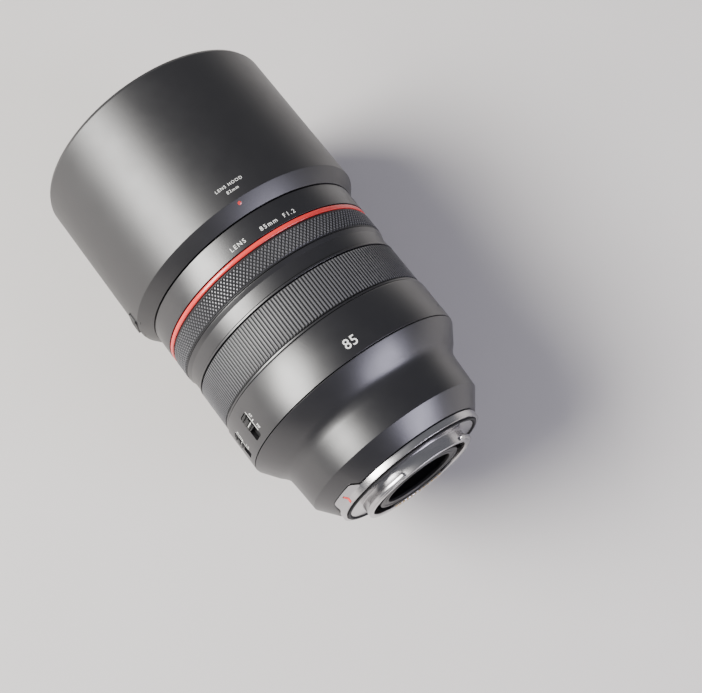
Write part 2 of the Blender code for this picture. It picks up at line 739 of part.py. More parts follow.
def glass(name, rim_rear, rim_front, radius, front_bulge, rear_bulge):
    """Make a lens group from its rim and the height of each surface's curve over that rim."""
    def surface(rim, bulge, way):
        if abs(bulge) < 0.01:
            return [(rim, 0.0), (rim, radius)]
        ball = (radius * radius + bulge * bulge) / (2 * abs(bulge))
        points = []
        for share in (0.0, 0.5, 1.0):
            height = math.sqrt(ball * ball - (radius * share) ** 2) - (ball - abs(bulge))
            points.append((rim + way * math.copysign(height, bulge), radius * share))
        return points
    front = surface(rim_front, front_bulge, 1.0)
    rear = surface(rim_rear, rear_bulge, -1.0)
    return turned(name, front + rear[::-1], optical_glass(name), GLASS_STEPS)


def make_fixed_glass():
    """Make the two front groups and the five rear groups, which never move."""
    front = FRONT_CELL_REAR
    radius = CELL_BORE - GLASS_FIT
    glass("lens_group_1", front + 18.0, front + 20.5, radius, 6.5, -3.0)
    glass("lens_group_2", front + 9.0, front + 12.0, radius, 6.0, -2.0)
    rear = IRIS_REAR
    radius = REAR_CELL_BORE - GLASS_FIT
    glass("lens_group_5", rear - 7.6, rear - 4.6, radius, 2.5, -1.0)
    glass("lens_group_6", rear - 17.1, rear - 11.6, radius, 2.0, -2.0)
    glass("lens_group_7", rear - 26.1, rear - 21.1, radius, -2.0, 2.5)
    glass("lens_group_8", 19.5, 24.0, radius, 2.0, -1.5)
    glass("lens_group_9", 8.5, 11.5, REAR_CELL_BORE - TAIL_STEP - GLASS_FIT, 1.5, 1.0)


def make_focus_group():
    """Make the sliding cell, with its three followers, and the two groups of glass in it."""
    cell = tube("focus_cell", FOCUS_CELL_REAR, FOCUS_CELL_REAR + FOCUS_CELL_LENGTH, CELL_BORE,
                CELL_RADIUS, black_plastic("focus_cell"))
    for i, turn in enumerate(even_turns(FOLLOWER_COUNT, 30.0), 1):
        pin = rod(f"follower_{i}", FOLLOWER_RADIUS,
                  point_at(FOLLOWER_STATION, CELL_RADIUS - TUBE_WALL / 2, turn),
                  point_at(FOLLOWER_STATION, CAM_RADIUS - 0.2, turn), 12, None)
        weld(cell, pin)
    base = FOCUS_CELL_REAR
    radius = CELL_BORE - GLASS_FIT
    group_3 = glass("lens_group_3", base + 6.0, base + 8.5, radius, 3.0, 0.8)
    group_4 = glass("lens_group_4", base + 1.4, base + 4.9, radius, -0.5, -1.2)
    carry("focus_group_slide", point_at(FOLLOWER_STATION, 0.0, 0.0), [cell, group_3, group_4])


def turned_point(centre, point, degrees):
    """Return a flat point turned about a centre, as seen from the front."""
    return centre + Matrix.Rotation(math.radians(degrees), 2) @ (point - centre)


def on_circle(radius, degrees):
    """Return a flat point of the front view, counted from +X toward the top."""
    angle = math.radians(degrees)
    return Vector((radius * math.cos(angle), radius * math.sin(angle)))


def drive_path(start):
    """Return the path of a blade's drive pin in the drive ring, while the blade swings."""
    pivot = on_circle(PIVOT_RADIUS, start)
    pin = on_circle(PIVOT_RADIUS, start + PIN_ARC)
    path = []
    for step in range(5):
        share = step / 4
        moved = turned_point(pivot, pin, BLADE_SWING * share)
        path.append(turned_point(Vector((0.0, 0.0)), moved, DRIVE_TURN * share))
    return path


def make_blade(index, start):
    """Make one blade, its pivot pin to the rear and its drive pin to the front."""
    level = FIRST_BLADE + index * BLADE_PITCH
    tab = PIVOT_RADIUS + TAB_HEIGHT
    inner = []
    outer = []
    for angle, reach in (
        (-2.4, tab - 0.8), (0.0, tab), (PIN_ARC, tab), (PIN_ARC + 2.4, tab - 0.8),
        (PIN_ARC + 4.0, BLADE_OUTER), (38.0, BLADE_OUTER), (62.0, BLADE_OUTER),
        (86.0, BLADE_OUTER), (BLADE_SPAN - 3.0, BLADE_OUTER), (BLADE_SPAN, BLADE_OUTER - 3.0),
    ):
        inner.append(on_circle(BLADE_INNER, start + angle))
        outer.append(on_circle(reach, start + angle))
    name = f"iris_blade_{index + 1}"
    look = finish(name, (0.03, 0.03, 0.032), 0.5, 0.6)
    pivot = on_circle(PIVOT_RADIUS, start)
    pin = on_circle(PIVOT_RADIUS, start + PIN_ARC)
    middle = level + BLADE_THICKNESS / 2
    blade = strip(name, inner, outer, level, level + BLADE_THICKNESS, facing, look,
                  facing(pivot, level))
    weld(blade, rod(f"pivot_pin_{index + 1}", PIN_RADIUS, facing(pivot, middle),
                    facing(pivot, IRIS_REAR + 0.4), 6, None))
    weld(blade, rod(f"drive_pin_{index + 1}", PIN_RADIUS, facing(pin, middle),
                    facing(pin, DRIVE_FRONT - 0.2), 6, None))
    carry(f"{name}_pivot", facing(pivot, level), [blade])


def make_iris():
    """Make the iris: housing, nine blades, the ring that drives them, and the cover."""
    housing = turned(
        "iris_housing",
        [
            (IRIS_REAR, IRIS_OPENING), (IRIS_REAR, IRIS_RADIUS),
            (IRIS_COVER_REAR - SEAT_GAP, IRIS_RADIUS), (IRIS_COVER_REAR - SEAT_GAP, IRIS_CHAMBER),
            (IRIS_FLOOR, IRIS_CHAMBER), (IRIS_FLOOR, IRIS_OPENING),
        ],
        black_plastic("iris_housing"),
    )
    ring = tube("iris_drive_ring", DRIVE_REAR, DRIVE_FRONT, IRIS_OPENING + 1.5,
                IRIS_CHAMBER - RUNNING_GAP, machined_alloy("iris_drive_ring"))
    for i, start in enumerate(even_turns(BLADE_COUNT)):
        pivot = on_circle(PIVOT_RADIUS, start)
        cut(housing, rod(f"pivot_hole_{i + 1}", PIN_RADIUS + PIN_PLAY,
                         facing(pivot, IRIS_REAR - 0.2), facing(pivot, IRIS_FLOOR + 0.2), 8,
                         None))
        path = lengthened(drive_path(start), PIN_RADIUS + PIN_PLAY)
        left, right = sides_of(path, 2 * (PIN_RADIUS + PIN_PLAY))
        cut(ring, strip(f"drive_slot_{i + 1}", left, right, DRIVE_REAR - 0.2, DRIVE_FRONT + 0.2,
                        facing, None))
        make_blade(i, start)
    carry("iris_drive_axis", Vector((0.0, 0.0, 0.0)), [ring])
    tube("iris_cover", IRIS_COVER_REAR, IRIS_FRONT, IRIS_OPENING, IRIS_RADIUS,
         black_plastic("iris_cover"))


def make_rings():
    """Make the focus ring with its rubber grip, the fixed middle ring and the control ring."""
    lip = BARREL_RADIUS - 0.5
    floor = RIDER_BORE + 1.3
    lip_length = 1.0
    carrier = turned(
        "focus_ring",
        [
            (FOCUS_REAR, RIDER_BORE), (FOCUS_REAR, lip), (FOCUS_REAR + lip_length, lip),
            (FOCUS_REAR + lip_length, floor), (FOCUS_FRONT - lip_length, floor),
            (FOCUS_FRONT - lip_length, lip), (FOCUS_FRONT, lip), (FOCUS_FRONT, RIDER_BORE),
        ],
        black_paint("focus_ring"),
    )
    grip = tube("focus_grip", FOCUS_REAR + lip_length + SEAT_GAP,
                FOCUS_FRONT - lip_length - SEAT_GAP, floor + SEAT_GAP, lip,
                finish("focus_grip", (0.03, 0.03, 0.032), 0.75))
    carry("focus_ring_axis", Vector((0.0, 0.0, 0.0)), [carrier, grip])
    turned(
        "middle_ring",
        [
            (MIDDLE_REAR, MAIN_RADIUS + SEAT_GAP), (MIDDLE_REAR, BARREL_RADIUS - 1.1),
            (MIDDLE_FRONT - 2.0, BARREL_RADIUS - 0.8), (MIDDLE_FRONT, BARREL_RADIUS),
            (MIDDLE_FRONT, MAIN_RADIUS + SEAT_GAP),
        ],
        black_paint("middle_ring"),
    )
    control = tube("control_ring", CONTROL_REAR, CONTROL_FRONT, RIDER_BORE, FRONT_RADIUS,
                   finish("control_ring", (0.03, 0.03, 0.032), 0.6))
    carry("control_ring_axis", Vector((0.0, 0.0, 0.0)), [control])


def hood_lug_sectors(start):
    """Return three equal sectors, which the seat's lugs and the hood's lugs share."""
    return [(turn, turn + HOOD_LUG_SWEEP) for turn in even_turns(3, start)]


def make_front():
    """Make the red ring, the front barrel, the front cell and the filter ring."""
    step = FRONT_RADIUS - SHELL_WALL - 0.1
    tube("red_ring", RED_REAR, RED_FRONT, step + SEAT_GAP, FRONT_RADIUS,
         red_enamel("red_ring"))
    shelf = GUIDE_RADIUS + 0.4
    cell_seat = RED_REAR + 2.0
    bore = SEAT_RADIUS - 3.9
    lug_rear = LENS_FRONT - 1.9
    lug_front = LENS_FRONT - 0.5
    shape = turned_bmesh(
        [
            (RED_REAR, shelf), (RED_REAR, step), (NAME_REAR, step), (NAME_REAR, FRONT_RADIUS),
            (NAME_FRONT, FRONT_RADIUS), (NAME_FRONT, SEAT_RADIUS), (lug_rear, SEAT_RADIUS),
            (lug_front, SEAT_RADIUS), (LENS_FRONT, SEAT_RADIUS), (LENS_FRONT, bore),
            (cell_seat, bore), (cell_seat, shelf),
        ],
        RING_STEPS,
    )
    raise_faces(
        shape, (lug_rear, lug_front), SEAT_RADIUS, hood_lug_sectors(5.0),
        lambda corner: (corner[0], corner[1] + LUG_HEIGHT),
    )
    keep("front_barrel", shape, black_paint("front_barrel"))
    cell_front = FRONT_CELL_REAR + FRONT_CELL_LENGTH
    flange = cell_seat + SEAT_GAP
    turned(
        "front_cell",
        [
            (FRONT_CELL_REAR, CELL_BORE), (FRONT_CELL_REAR, CELL_RADIUS),
            (flange, CELL_RADIUS), (flange, bore - SEAT_GAP), (flange + 1.6, bore - SEAT_GAP),
            (flange + 1.6, CELL_RADIUS), (cell_front, CELL_RADIUS), (cell_front, CELL_BORE),
        ],
        black_plastic("front_cell"),
    )
    lip_rear = cell_front + SEAT_GAP
    turned(
        "filter_ring",
        [
            (lip_rear, CELL_BORE - 0.2), (lip_rear, bore - SEAT_GAP),
            (LENS_FRONT - 0.3, bore - SEAT_GAP), (LENS_FRONT - 0.3, bore - 3.3),
            (lip_rear + 1.2, bore - 3.3), (lip_rear + 1.2, CELL_BORE - 0.2),
        ],
        black_paint("filter_ring"),
    )


def make_hood():
    """Make the hood with its lining, its index dot and its lock button."""
    collar_front = LENS_FRONT + 0.6
    button_station = HOOD_REAR + BUTTON_INSET + BUTTON_SIZE[0] / 2
    rim = HOOD_FRONT
    hood_rear_radius = FRONT_RADIUS + HOOD_COLLAR_RISE - 0.2
    lug_rear = HOOD_REAR + 0.9
    lug_front = lug_rear + HOOD_LUG_LENGTH
    shape = turned_bmesh(
        [
            (HOOD_REAR, HOOD_COLLAR_BORE), (HOOD_REAR, hood_rear_radius),
            (HOOD_REAR + HOOD_BEVEL, HOOD_RADIUS), (rim - 1.5, HOOD_RADIUS),
            (rim, HOOD_RADIUS - 0.7), (rim, HOOD_BORE + 0.3), (collar_front + 3.4, HOOD_BORE),
            (collar_front, HOOD_COLLAR_BORE), (lug_front, HOOD_COLLAR_BORE),
            (lug_rear, HOOD_COLLAR_BORE),
        ],
        RING_STEPS,
    )
    raise_faces(
        shape, (lug_rear, lug_front), HOOD_COLLAR_BORE, hood_lug_sectors(5.0),
        lambda corner: (corner[0], corner[1] - LUG_HEIGHT),
    )
    hood = keep("hood", shape, black_paint("hood"))

    axial, tangential = BUTTON_SIZE
    button_top = HOOD_RADIUS + BUTTON_PROUD
    button_low = button_top - BUTTON_HEIGHT - BUTTON_TRAVEL
    spring_low = button_low - BUTTON_SPRING_GAP - BUTTON_SPRING_HEIGHT
    well_floor = spring_low - BUTTON_SPRING_GAP
    boss_low = well_floor - BOSS_FLOOR
    boss_high = HOOD_RADIUS - HOOD_WALL / 2
    boss_length = axial + 2 * BOSS_MARGIN
    boss = block("button_boss", (boss_length, tangential + 2 * BOSS_MARGIN,
                                 boss_high - boss_low),
                 button_station + 0.4, (boss_low + boss_high) / 2, BUTTON_TURN, None)
    weld(hood, boss)
    well_top = HOOD_RADIUS + OVERRUN
    well = block("button_well", (axial + 2 * BUTTON_PLAY, tangential + 2 * BUTTON_PLAY,
                                 well_top - well_floor),
                 button_station, (well_floor + well_top) / 2, BUTTON_TURN, None)
    cut(hood, well)
    button = block("hood_button", (axial, tangential, BUTTON_HEIGHT), button_station,
                   button_top - BUTTON_HEIGHT / 2, BUTTON_TURN, black_plastic("hood_button"))
    spring = block("hood_button_spring",
                   (axial - 2.0, tangential - 3.0, BUTTON_SPRING_HEIGHT), button_station,
                   spring_low + BUTTON_SPRING_HEIGHT / 2, BUTTON_TURN,
                   finish("hood_button_spring", (0.5, 0.5, 0.52), 0.3, 1.0))

    lining_radius = HOOD_BORE - SEAT_GAP
    lining_rear = button_station + 0.4 + boss_length / 2 + 0.8
    lining = tube("hood_lining", lining_rear, rim - 2.0, lining_radius - LINING_THICKNESS,
                  lining_radius, finish("hood_lining", (0.006, 0.006, 0.006), 0.95))

    dot_station = HOOD_REAR + DOT_INSET
    dot_surface = hood_rear_radius + (HOOD_RADIUS - hood_rear_radius) * DOT_INSET / HOOD_BEVEL
    normal = Vector((0.0, HOOD_RADIUS - hood_rear_radius, HOOD_BEVEL)).normalized() * MM
    centre = point_at(dot_station, dot_surface, 0.0)
    pocket = rod("dot_pocket", DOT_RADIUS + SEAT_GAP, centre - normal * INSERT_DEPTH,
                 centre + normal * OVERRUN, 12, None)
    cut(hood, pocket)
    dot = rod("hood_index_dot", DOT_RADIUS, centre - normal * (INSERT_DEPTH - SEAT_GAP),
              centre + normal * INSERT_PROUD, 12, red_enamel("hood_index_dot"))
    hood_axis = carry("hood_axis", Vector((0.0, 0.0, 0.0)), [hood, lining, dot, spring])
    press = carry("hood_button_slide", button.location.copy(), [button])
    press.parent = hood_axis


def main():
    """Build the whole lens."""
    clear_scene()
    make_mount()
    make_rear_end()
    make_rear_cover()
    make_switches()
    make_inner_barrels()
    make_focus_drive()
    make_fixed_glass()
    make_focus_group()
    make_iris()
    make_rings()
    make_front()
    make_hood()


main()
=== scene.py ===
"""A fast prime camera lens with its hood fitted, dressed for display.

Stations are counted forward from the mount's flange and radii from the optical axis, both in
millimetres. A turn is counted in degrees from the top of the lens toward +X.
"""

from __future__ import annotations

import json
import logging
import math
from collections.abc import Callable, Sequence
from dataclasses import dataclass
from enum import Enum
from itertools import pairwise

import bpy
from mathutils import Matrix, Vector


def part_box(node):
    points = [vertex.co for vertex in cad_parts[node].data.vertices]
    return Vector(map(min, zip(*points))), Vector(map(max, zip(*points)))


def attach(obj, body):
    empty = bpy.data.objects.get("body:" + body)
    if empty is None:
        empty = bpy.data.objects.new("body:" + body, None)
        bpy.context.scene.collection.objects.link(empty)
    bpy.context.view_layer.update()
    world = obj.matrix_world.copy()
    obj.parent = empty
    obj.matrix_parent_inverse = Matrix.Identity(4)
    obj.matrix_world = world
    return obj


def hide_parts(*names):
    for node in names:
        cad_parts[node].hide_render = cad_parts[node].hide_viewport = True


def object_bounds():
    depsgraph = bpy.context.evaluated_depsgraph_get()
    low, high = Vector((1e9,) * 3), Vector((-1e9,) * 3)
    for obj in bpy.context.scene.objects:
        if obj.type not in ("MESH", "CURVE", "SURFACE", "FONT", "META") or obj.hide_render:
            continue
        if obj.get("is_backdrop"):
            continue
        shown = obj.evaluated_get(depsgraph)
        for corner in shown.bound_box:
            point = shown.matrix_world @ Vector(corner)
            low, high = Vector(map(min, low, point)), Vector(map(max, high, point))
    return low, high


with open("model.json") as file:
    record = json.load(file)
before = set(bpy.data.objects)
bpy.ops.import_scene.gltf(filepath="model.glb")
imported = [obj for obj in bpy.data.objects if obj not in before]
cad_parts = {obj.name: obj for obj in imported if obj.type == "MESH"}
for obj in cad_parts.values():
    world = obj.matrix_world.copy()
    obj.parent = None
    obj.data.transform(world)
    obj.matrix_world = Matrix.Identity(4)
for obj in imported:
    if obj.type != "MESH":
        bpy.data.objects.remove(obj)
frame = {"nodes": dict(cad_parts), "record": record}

LOG = logging.getLogger("lens")
MM = 0.001
WELD = 2e-6
COLUMNS = 256
PRINT_DEPTH = 0.03

Obj = bpy.types.Object
Tree = bpy.types.NodeTree
Node = bpy.types.Node
Pair = tuple[float, float]
Triple = tuple[float, float, float]
Corner = tuple[float, ...]
Rule = Callable[[float, float, float], bool]
Links = dict[int | str, tuple[Node, int | str]]


class Body(Enum):
    """The bodies that pieces ride on."""

    BARREL = "barrel"
    FOCUS_RING = "focus_ring"
    CONTROL_RING = "control_ring"
    AF_MF_SWITCH = "af_mf_switch"
    LIMITER_SWITCH = "limiter_switch"
    FOCUS_GROUP = "focus_group"
    HOOD = "hood"
    HOOD_BUTTON = "hood_button"


class Reading(Enum):
    """Which way the tops of printed letters point."""

    FRONT_UP = "toward the front rim"
    TOP_UP = "toward the top of the lens"


@dataclass(frozen=True)
class Envelope:
    """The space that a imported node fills, in millimetres."""

    rear: float
    front: float
    radius: float

    @classmethod
    def of(cls, node: str) -> Envelope:
        """Read a turned node's space.

        Args:
            node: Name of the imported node.

        Returns:
            Its rear and front stations and its outer radius.
        """
        low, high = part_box(node)
        return cls(-high.y / MM, -low.y / MM, high.z / MM)


# Places


def spot(station: float, radius: float, turn: float) -> Vector:
    """Give the point at a station, radius and turn.

    Args:
        station: Distance forward from the flange, in mm.
        radius: Distance from the optical axis, in mm.
        turn: Degrees from the top toward +X.

    Returns:
        The point, in metres.
    """
    angle = math.radians(turn)
    return Vector((radius * math.sin(angle), -station, radius * math.cos(angle))) * MM


def seat_of(point: Vector) -> Triple:
    """Give the station, radius and turn of a point.

    Args:
        point: A point in metres.

    Returns:
        Station and radius in mm, and the turn from 0 to 360 degrees.
    """
    turn = math.degrees(math.atan2(point.x, point.z)) % 360.0
    return -point.y / MM, math.hypot(point.x, point.z) / MM, turn


def eased(outline: Sequence[Corner], arcs: int = 5) -> list[Pair]:
    """Round the corners of an outline that carry a fillet.

    Args:
        outline: Corners as (station, radius) or (station, radius, fillet).
        arcs: Edges that each fillet is drawn with.

    Returns:
        The stations and radii of the finished outline.
    """
    points = []
    count = len(outline)
    for i, corner in enumerate(outline):
        here = Vector(corner[:2])
        if len(corner) < 3:
            points.append((here.x, here.y))
            continue
        back = Vector(outline[i - 1][:2]) - here
        ahead = Vector(outline[(i + 1) % count][:2]) - here
        reach = corner[2] / math.tan(back.angle(ahead) / 2)
        start = here + back.normalized() * min(reach, 0.48 * back.length)
        end = here + ahead.normalized() * min(reach, 0.48 * ahead.length)
        for k in range(arcs + 1):
            t = k / arcs
            point = start.lerp(here, t).lerp(here.lerp(end, t), t)
            points.append((point.x, point.y))
    return points


def s_curve(value: float, start: float, end: float) -> float:
    """Rise smoothly from 0 at start to 1 at end.

    Args:
        value: Where on the curve.
        start: Where the rise begins.
        end: Where it ends.

    Returns:
        The height there, from 0 to 1.
    """
    share = min(max((value - start) / (end - start), 0.0), 1.0)
    return share * share * (3.0 - 2.0 * share)


# Shop tools


def deselect() -> None:
    """Leave every object unselected."""
    for obj in bpy.context.selected_objects:
        obj.select_set(False)


def activate(obj: Obj) -> None:
    """Make one object the only one selected, and the active one."""
    deselect()
    obj.select_set(True)
    bpy.context.view_layer.objects.active = obj


def edit(kind: str) -> None:
    """Open the active object in edit mode, to select by "VERT", "EDGE" or "FACE"."""
    bpy.context.tool_settings.mesh_select_mode = [kind == k for k in ("VERT", "EDGE", "FACE")]
    bpy.ops.object.mode_set(mode="EDIT")


def close_edit() -> None:
    """Leave edit mode."""
    bpy.ops.object.mode_set(mode="OBJECT")


def named(name: str) -> Obj:
    """Name the object that was just added, and its data, and give it back."""
    obj = bpy.context.object
    obj.name = obj.data.name = name
    return obj


def pick_faces(obj: Obj, rule: Rule) -> None:
    """Open an object in edit mode with some of its faces selected.

    Args:
        obj: The object.
        rule: Tells from a face centre's station, radius and turn whether it is wanted.
    """
    activate(obj)
    mesh = obj.data
    mesh.vertices.foreach_set("select", [False] * len(mesh.vertices))
    mesh.edges.foreach_set("select", [False] * len(mesh.edges))
    mesh.polygons.foreach_set("select", [rule(*seat_of(p.center)) for p in mesh.polygons])
    edit("FACE")


def pick_edges(obj: Obj, rule: Callable[[bpy.types.MeshEdge, Vector, Vector], bool]) -> None:
    """Open an object in edit mode with some of its edges selected.

    Args:
        obj: The object.
        rule: Tells from an edge and its two ends whether it is wanted.
    """
    activate(obj)
    mesh = obj.data
    for edge in mesh.edges:
        edge.select = rule(edge, *(mesh.vertices[i].co for i in edge.vertices))
    for item in (*mesh.vertices, *mesh.polygons):
        item.select = False
    edit("EDGE")


def slice_at(obj: Obj, *stations: float) -> None:
    """Cut the faces of a mesh across the optical axis at some stations."""
    activate(obj)
    edit("FACE")
    for station in stations:
        bpy.ops.mesh.select_all(action="SELECT")
        bpy.ops.mesh.bisect(plane_co=spot(station, 0.0, 0.0), plane_no=(0.0, 1.0, 0.0))
    close_edit()


def reshape(obj: Obj, move: Callable[[Vector], Vector]) -> None:
    """Move every vertex of a mesh by a rule that maps the old place to the new one."""
    for vertex in obj.data.vertices:
        vertex.co = move(vertex.co)
    obj.data.update()


def modify(obj: Obj, kind: str, **settings: object) -> Obj:
    """Add a modifier, set it and apply it.

    Args:
        obj: The object.
        kind: The modifier's type.
        settings: Its settings.

    Returns:
        The same object.
    """
    activate(obj)
    modifier = obj.modifiers.new(kind.lower(), kind)
    for key, value in settings.items():
        setattr(modifier, key, value)
    bpy.ops.object.modifier_apply(modifier=modifier.name)
    return obj


def soften(obj: Obj, width: float, angle: float = 30.0) -> Obj:
    """Bevel the sharp edges by a width in mm."""
    return modify(obj, "BEVEL", width=width * MM, segments=2, limit_method="ANGLE",
                  angle_limit=math.radians(angle), harden_normals=False)


def shade(obj: Obj, angle: float = 28.0) -> Obj:
    """Shade smooth across the edges flatter than an angle."""
    activate(obj)
    bpy.ops.object.shade_smooth_by_angle(angle=math.radians(angle))
    return obj


def carve(obj: Obj, tool: Obj, operation: str = "DIFFERENCE") -> None:
    """Cut one object out of another, or add it as "UNION", and remove the tool."""
    modify(obj, "BOOLEAN", operation=operation, solver="EXACT", object=tool)
    bpy.data.objects.remove(tool)


def joined(name: str, parts: Sequence[Obj]) -> Obj:
    """Join several objects into one, under a new name."""
    activate(parts[0])
    for part in parts[1:]:
        part.select_set(True)
    bpy.ops.object.join()
    parts[0].name = parts[0].data.name = name
    return parts[0]


def turned_copy(obj: Obj, name: str, turn: float) -> Obj:
    """Copy an object with its mesh, turned about the optical axis by some degrees."""
    copy = obj.copy()
    copy.data = obj.data.copy()
    copy.name = copy.data.name = name
    bpy.context.scene.collection.objects.link(copy)
    copy.data.transform(Matrix.Rotation(math.radians(turn), 4, "Y"))
    return copy


def turned(name: str, outline: Sequence[Corner], turns: Pair = (0.0, 360.0),
           columns: int = COLUMNS) -> Obj:
    """Turn an outline about the optical axis, as on a lathe.

    Args:
        name: Name of the new object.
        outline: Corners of the section. One that starts and ends on the axis is left open there.
        turns: Where the sweep begins and ends.
        columns: Steps in the sweep.

    Returns:
        The closed object.
    """
    points = [spot(station, radius, turns[0]) for station, radius in eased(outline)]
    sweep = turns[1] - turns[0]
    deselect()
    bpy.ops.mesh.primitive_plane_add(size=MM, location=(0.0, 0.0, 0.0))
    obj = named(name)
    edit("VERT")
    bpy.ops.mesh.select_all(action="SELECT")
    bpy.ops.mesh.merge(type="CENTER")
    bpy.ops.transform.translate(value=points[0])
    for here, there in pairwise(points):
        bpy.ops.mesh.extrude_region_move(TRANSFORM_OT_translate={"value": there - here})
    if sweep < 360.0:
        bpy.ops.mesh.select_all(action="SELECT")
        bpy.ops.mesh.edge_face_add()
    elif outline[0][1] > 0.0:
        close_edit()
        last = len(points) - 1
        for i, vertex in enumerate(obj.data.vertices):
            vertex.select = i in (0, last)
        edit("VERT")
        bpy.ops.mesh.edge_face_add()
    bpy.ops.mesh.select_all(action="SELECT")
    bpy.ops.mesh.spin(steps=columns, angle=-math.radians(sweep), center=(0.0, 0.0, 0.0),
                      axis=(0.0, 1.0, 0.0))
    bpy.ops.mesh.select_all(action="SELECT")
    bpy.ops.mesh.remove_doubles(threshold=WELD)
    bpy.ops.mesh.normals_make_consistent(inside=False)
    close_edit()
    return obj


def raise_patch(obj: Obj, rule: Rule, radius: float, height: float) -> None:
    """Extrude faces straight away from the optical axis.

    Args:
        obj: The object.
        rule: Which faces.
        radius: Where the faces lie, in mm.
        height: How far they rise, in mm. A minus sign raises them toward the axis.
    """
    pick_faces(obj, rule)
    bpy.ops.mesh.extrude_region_move()
    share = (radius + height) / radius
    bpy.ops.transform.resize(value=(share, 1.0, share), center_override=(0.0, 0.0, 0.0))
    close_edit()


def raise_lugs(obj: Obj, stations: Pair, turns: Sequence[Pair], radius: float,
               height: float) -> None:
    """Raise bayonet lugs from a tube.

    Args:
        obj: The object.
        stations: Between which stations the lugs lie.
        turns: Where each lug begins and ends.
        radius: The tube's radius, in mm.
        height: How far the lugs rise, in mm.
    """
    raise_patch(
        obj,
        lambda station, reach, turn: stations[0] < station < stations[1]
        and reach > radius - 0.1 and any(a < turn < b for a, b in turns),
        radius, height,
    )


def block(name: str, size: Triple, station: float, radius: float,
          turn: float) -> Obj:
    """Add a block on the barrel, square to its surface.

    Args:
        name: Name of the new object.
        size: Length along the axis, width round the barrel and height outward, in mm.
        station: Station of its centre.
        radius: Radius of its centre.
        turn: Turn of its centre.

    Returns:
        The block, with its place in its mesh.
    """
    deselect()
    bpy.ops.mesh.primitive_cube_add(
        size=1.0, location=spot(station, radius, turn), rotation=(0.0, math.radians(turn), 0.0),
        scale=(size[1] * MM, size[0] * MM, size[2] * MM),
    )
    obj = named(name)
    bpy.ops.object.transform_apply(location=True, rotation=True, scale=True)
    return obj


def slot_cutter(size: Triple, station: float, radius: float, turn: float,
                corner: float) -> Obj:
    """Make a block whose four outward edges are rounded, to cut a slot with."""
    cutter = block("slot_cutter", size, station, radius, turn)
    outward = spot(0.0, 1.0, turn).normalized()
    pick_edges(cutter, lambda _, a, b: abs((b - a).normalized().dot(outward)) > 0.9)
    bpy.ops.mesh.bevel(offset=corner * MM, segments=5)
    close_edit()
    return cutter


def pillar(name: str, radius: float, start: Vector, end: Vector,
           vertices: int = 32) -> Obj:
    """Add a round bar from one point to another.

    Args:
        name: Name of the new object.
        radius: Its radius, in mm.
        start: Middle of one end, in metres.
        end: Middle of the other.
        vertices: Corners round it.

    Returns:
        The bar, with its place in its mesh.
    """
    run = end - start
    deselect()
    bpy.ops.mesh.primitive_cylinder_add(
        vertices=vertices, radius=radius * MM, depth=run.length, location=(start + end) / 2,
        rotation=run.to_track_quat("Z", "Y").to_euler(),
    )
    obj = named(name)
    bpy.ops.object.transform_apply(location=True, rotation=True, scale=True)
    return obj


def lettering(name: str, text: str, height: float, station: float, turn: float,
              surface: Callable[[float], float], reading: Reading,
              weight: float = 0.0, spacing: float = 1.08) -> Obj:
    """Print a mark on a turned surface.

    Args:
        name: Name of the new object.
        text: The mark.
        height: Height of its capitals, in mm.
        station: Station of its middle.
        turn: Turn of its middle.
        surface: Gives the surface's radius at a station.
        reading: Which way the tops of the letters point.
        weight: How much the strokes are thickened, as a share of the height.
        spacing: How far the letters stand apart, as a share of their usual step.

    Returns:
        The mark as a thin skin on the surface.
    """
    deselect()
    bpy.ops.object.text_add(location=(0.0, 0.0, 0.0))
    obj = bpy.context.object
    obj.name = name
    letters = obj.data
    letters.body = text
    letters.size = 1.0
    letters.align_x = "CENTER"
    letters.extrude = 0.01
    letters.offset = weight
    letters.space_character = spacing
    letters.resolution_u = 5
    bpy.ops.object.convert(target="MESH")
    obj.data.name = name
    edit("VERT")
    bpy.ops.mesh.select_all(action="SELECT")
    bpy.ops.mesh.remove_doubles(threshold=1e-5)
    bpy.ops.mesh.normals_make_consistent(inside=False)
    close_edit()
    # The fitted letters' capitals stand 0.73 of the type size.
    scale = height / 0.73
    girth = surface(station)

    def wrap(point: Vector) -> Vector:
        """Lay a flat point of the letters on the surface."""
        across, up = point.x * scale, point.y * scale - height / 2
        lift = PRINT_DEPTH * (1.0 if point.z > 0.0 else -1.0)
        if reading is Reading.FRONT_UP:
            here, swing = station + up, -across
        else:
            here, swing = station - across, -up
        return spot(here, surface(here) + lift, turn + math.degrees(swing / girth))

    reshape(obj, wrap)
    return obj


# Finishes


def linear(colour: str) -> tuple[float, float, float, float]:
    """Turn an sRGB colour such as "#1a2b3c" to linear red, green, blue and alpha."""
    parts = [int(colour[i:i + 2], 16) / 255.0 for i in (1, 3, 5)]
    red, green, blue = (
        part / 12.92 if part <= 0.04045 else ((part + 0.055) / 1.055) ** 2.4 for part in parts
    )
    return red, green, blue, 1.0


def per_mm(size: float) -> float:
    """Give the texture scale at which one feature measures a size in mm."""
    return 1.0 / (size * MM)


def add_node(tree: Tree, kind: str, settings: dict[int | str, object] | None = None,
             links: Links | None = None) -> Node:
    """Add a node with its settings and links.

    Args:
        tree: The material's node tree.
        kind: The node's type.
        settings: Values for its properties, by name, or for its inputs, by name or number.
        links: For an input, the node and output that feed it.

    Returns:
        The new node.
    """
    node = tree.nodes.new(kind)
    for key, value in (settings or {}).items():
        if isinstance(key, str) and key in node.bl_rna.properties:
            setattr(node, key, value)
        else:
            node.inputs[key].default_value = value
    for key, (source, output) in (links or {}).items():
        tree.links.new(source.outputs[output], node.inputs[key])
    return node


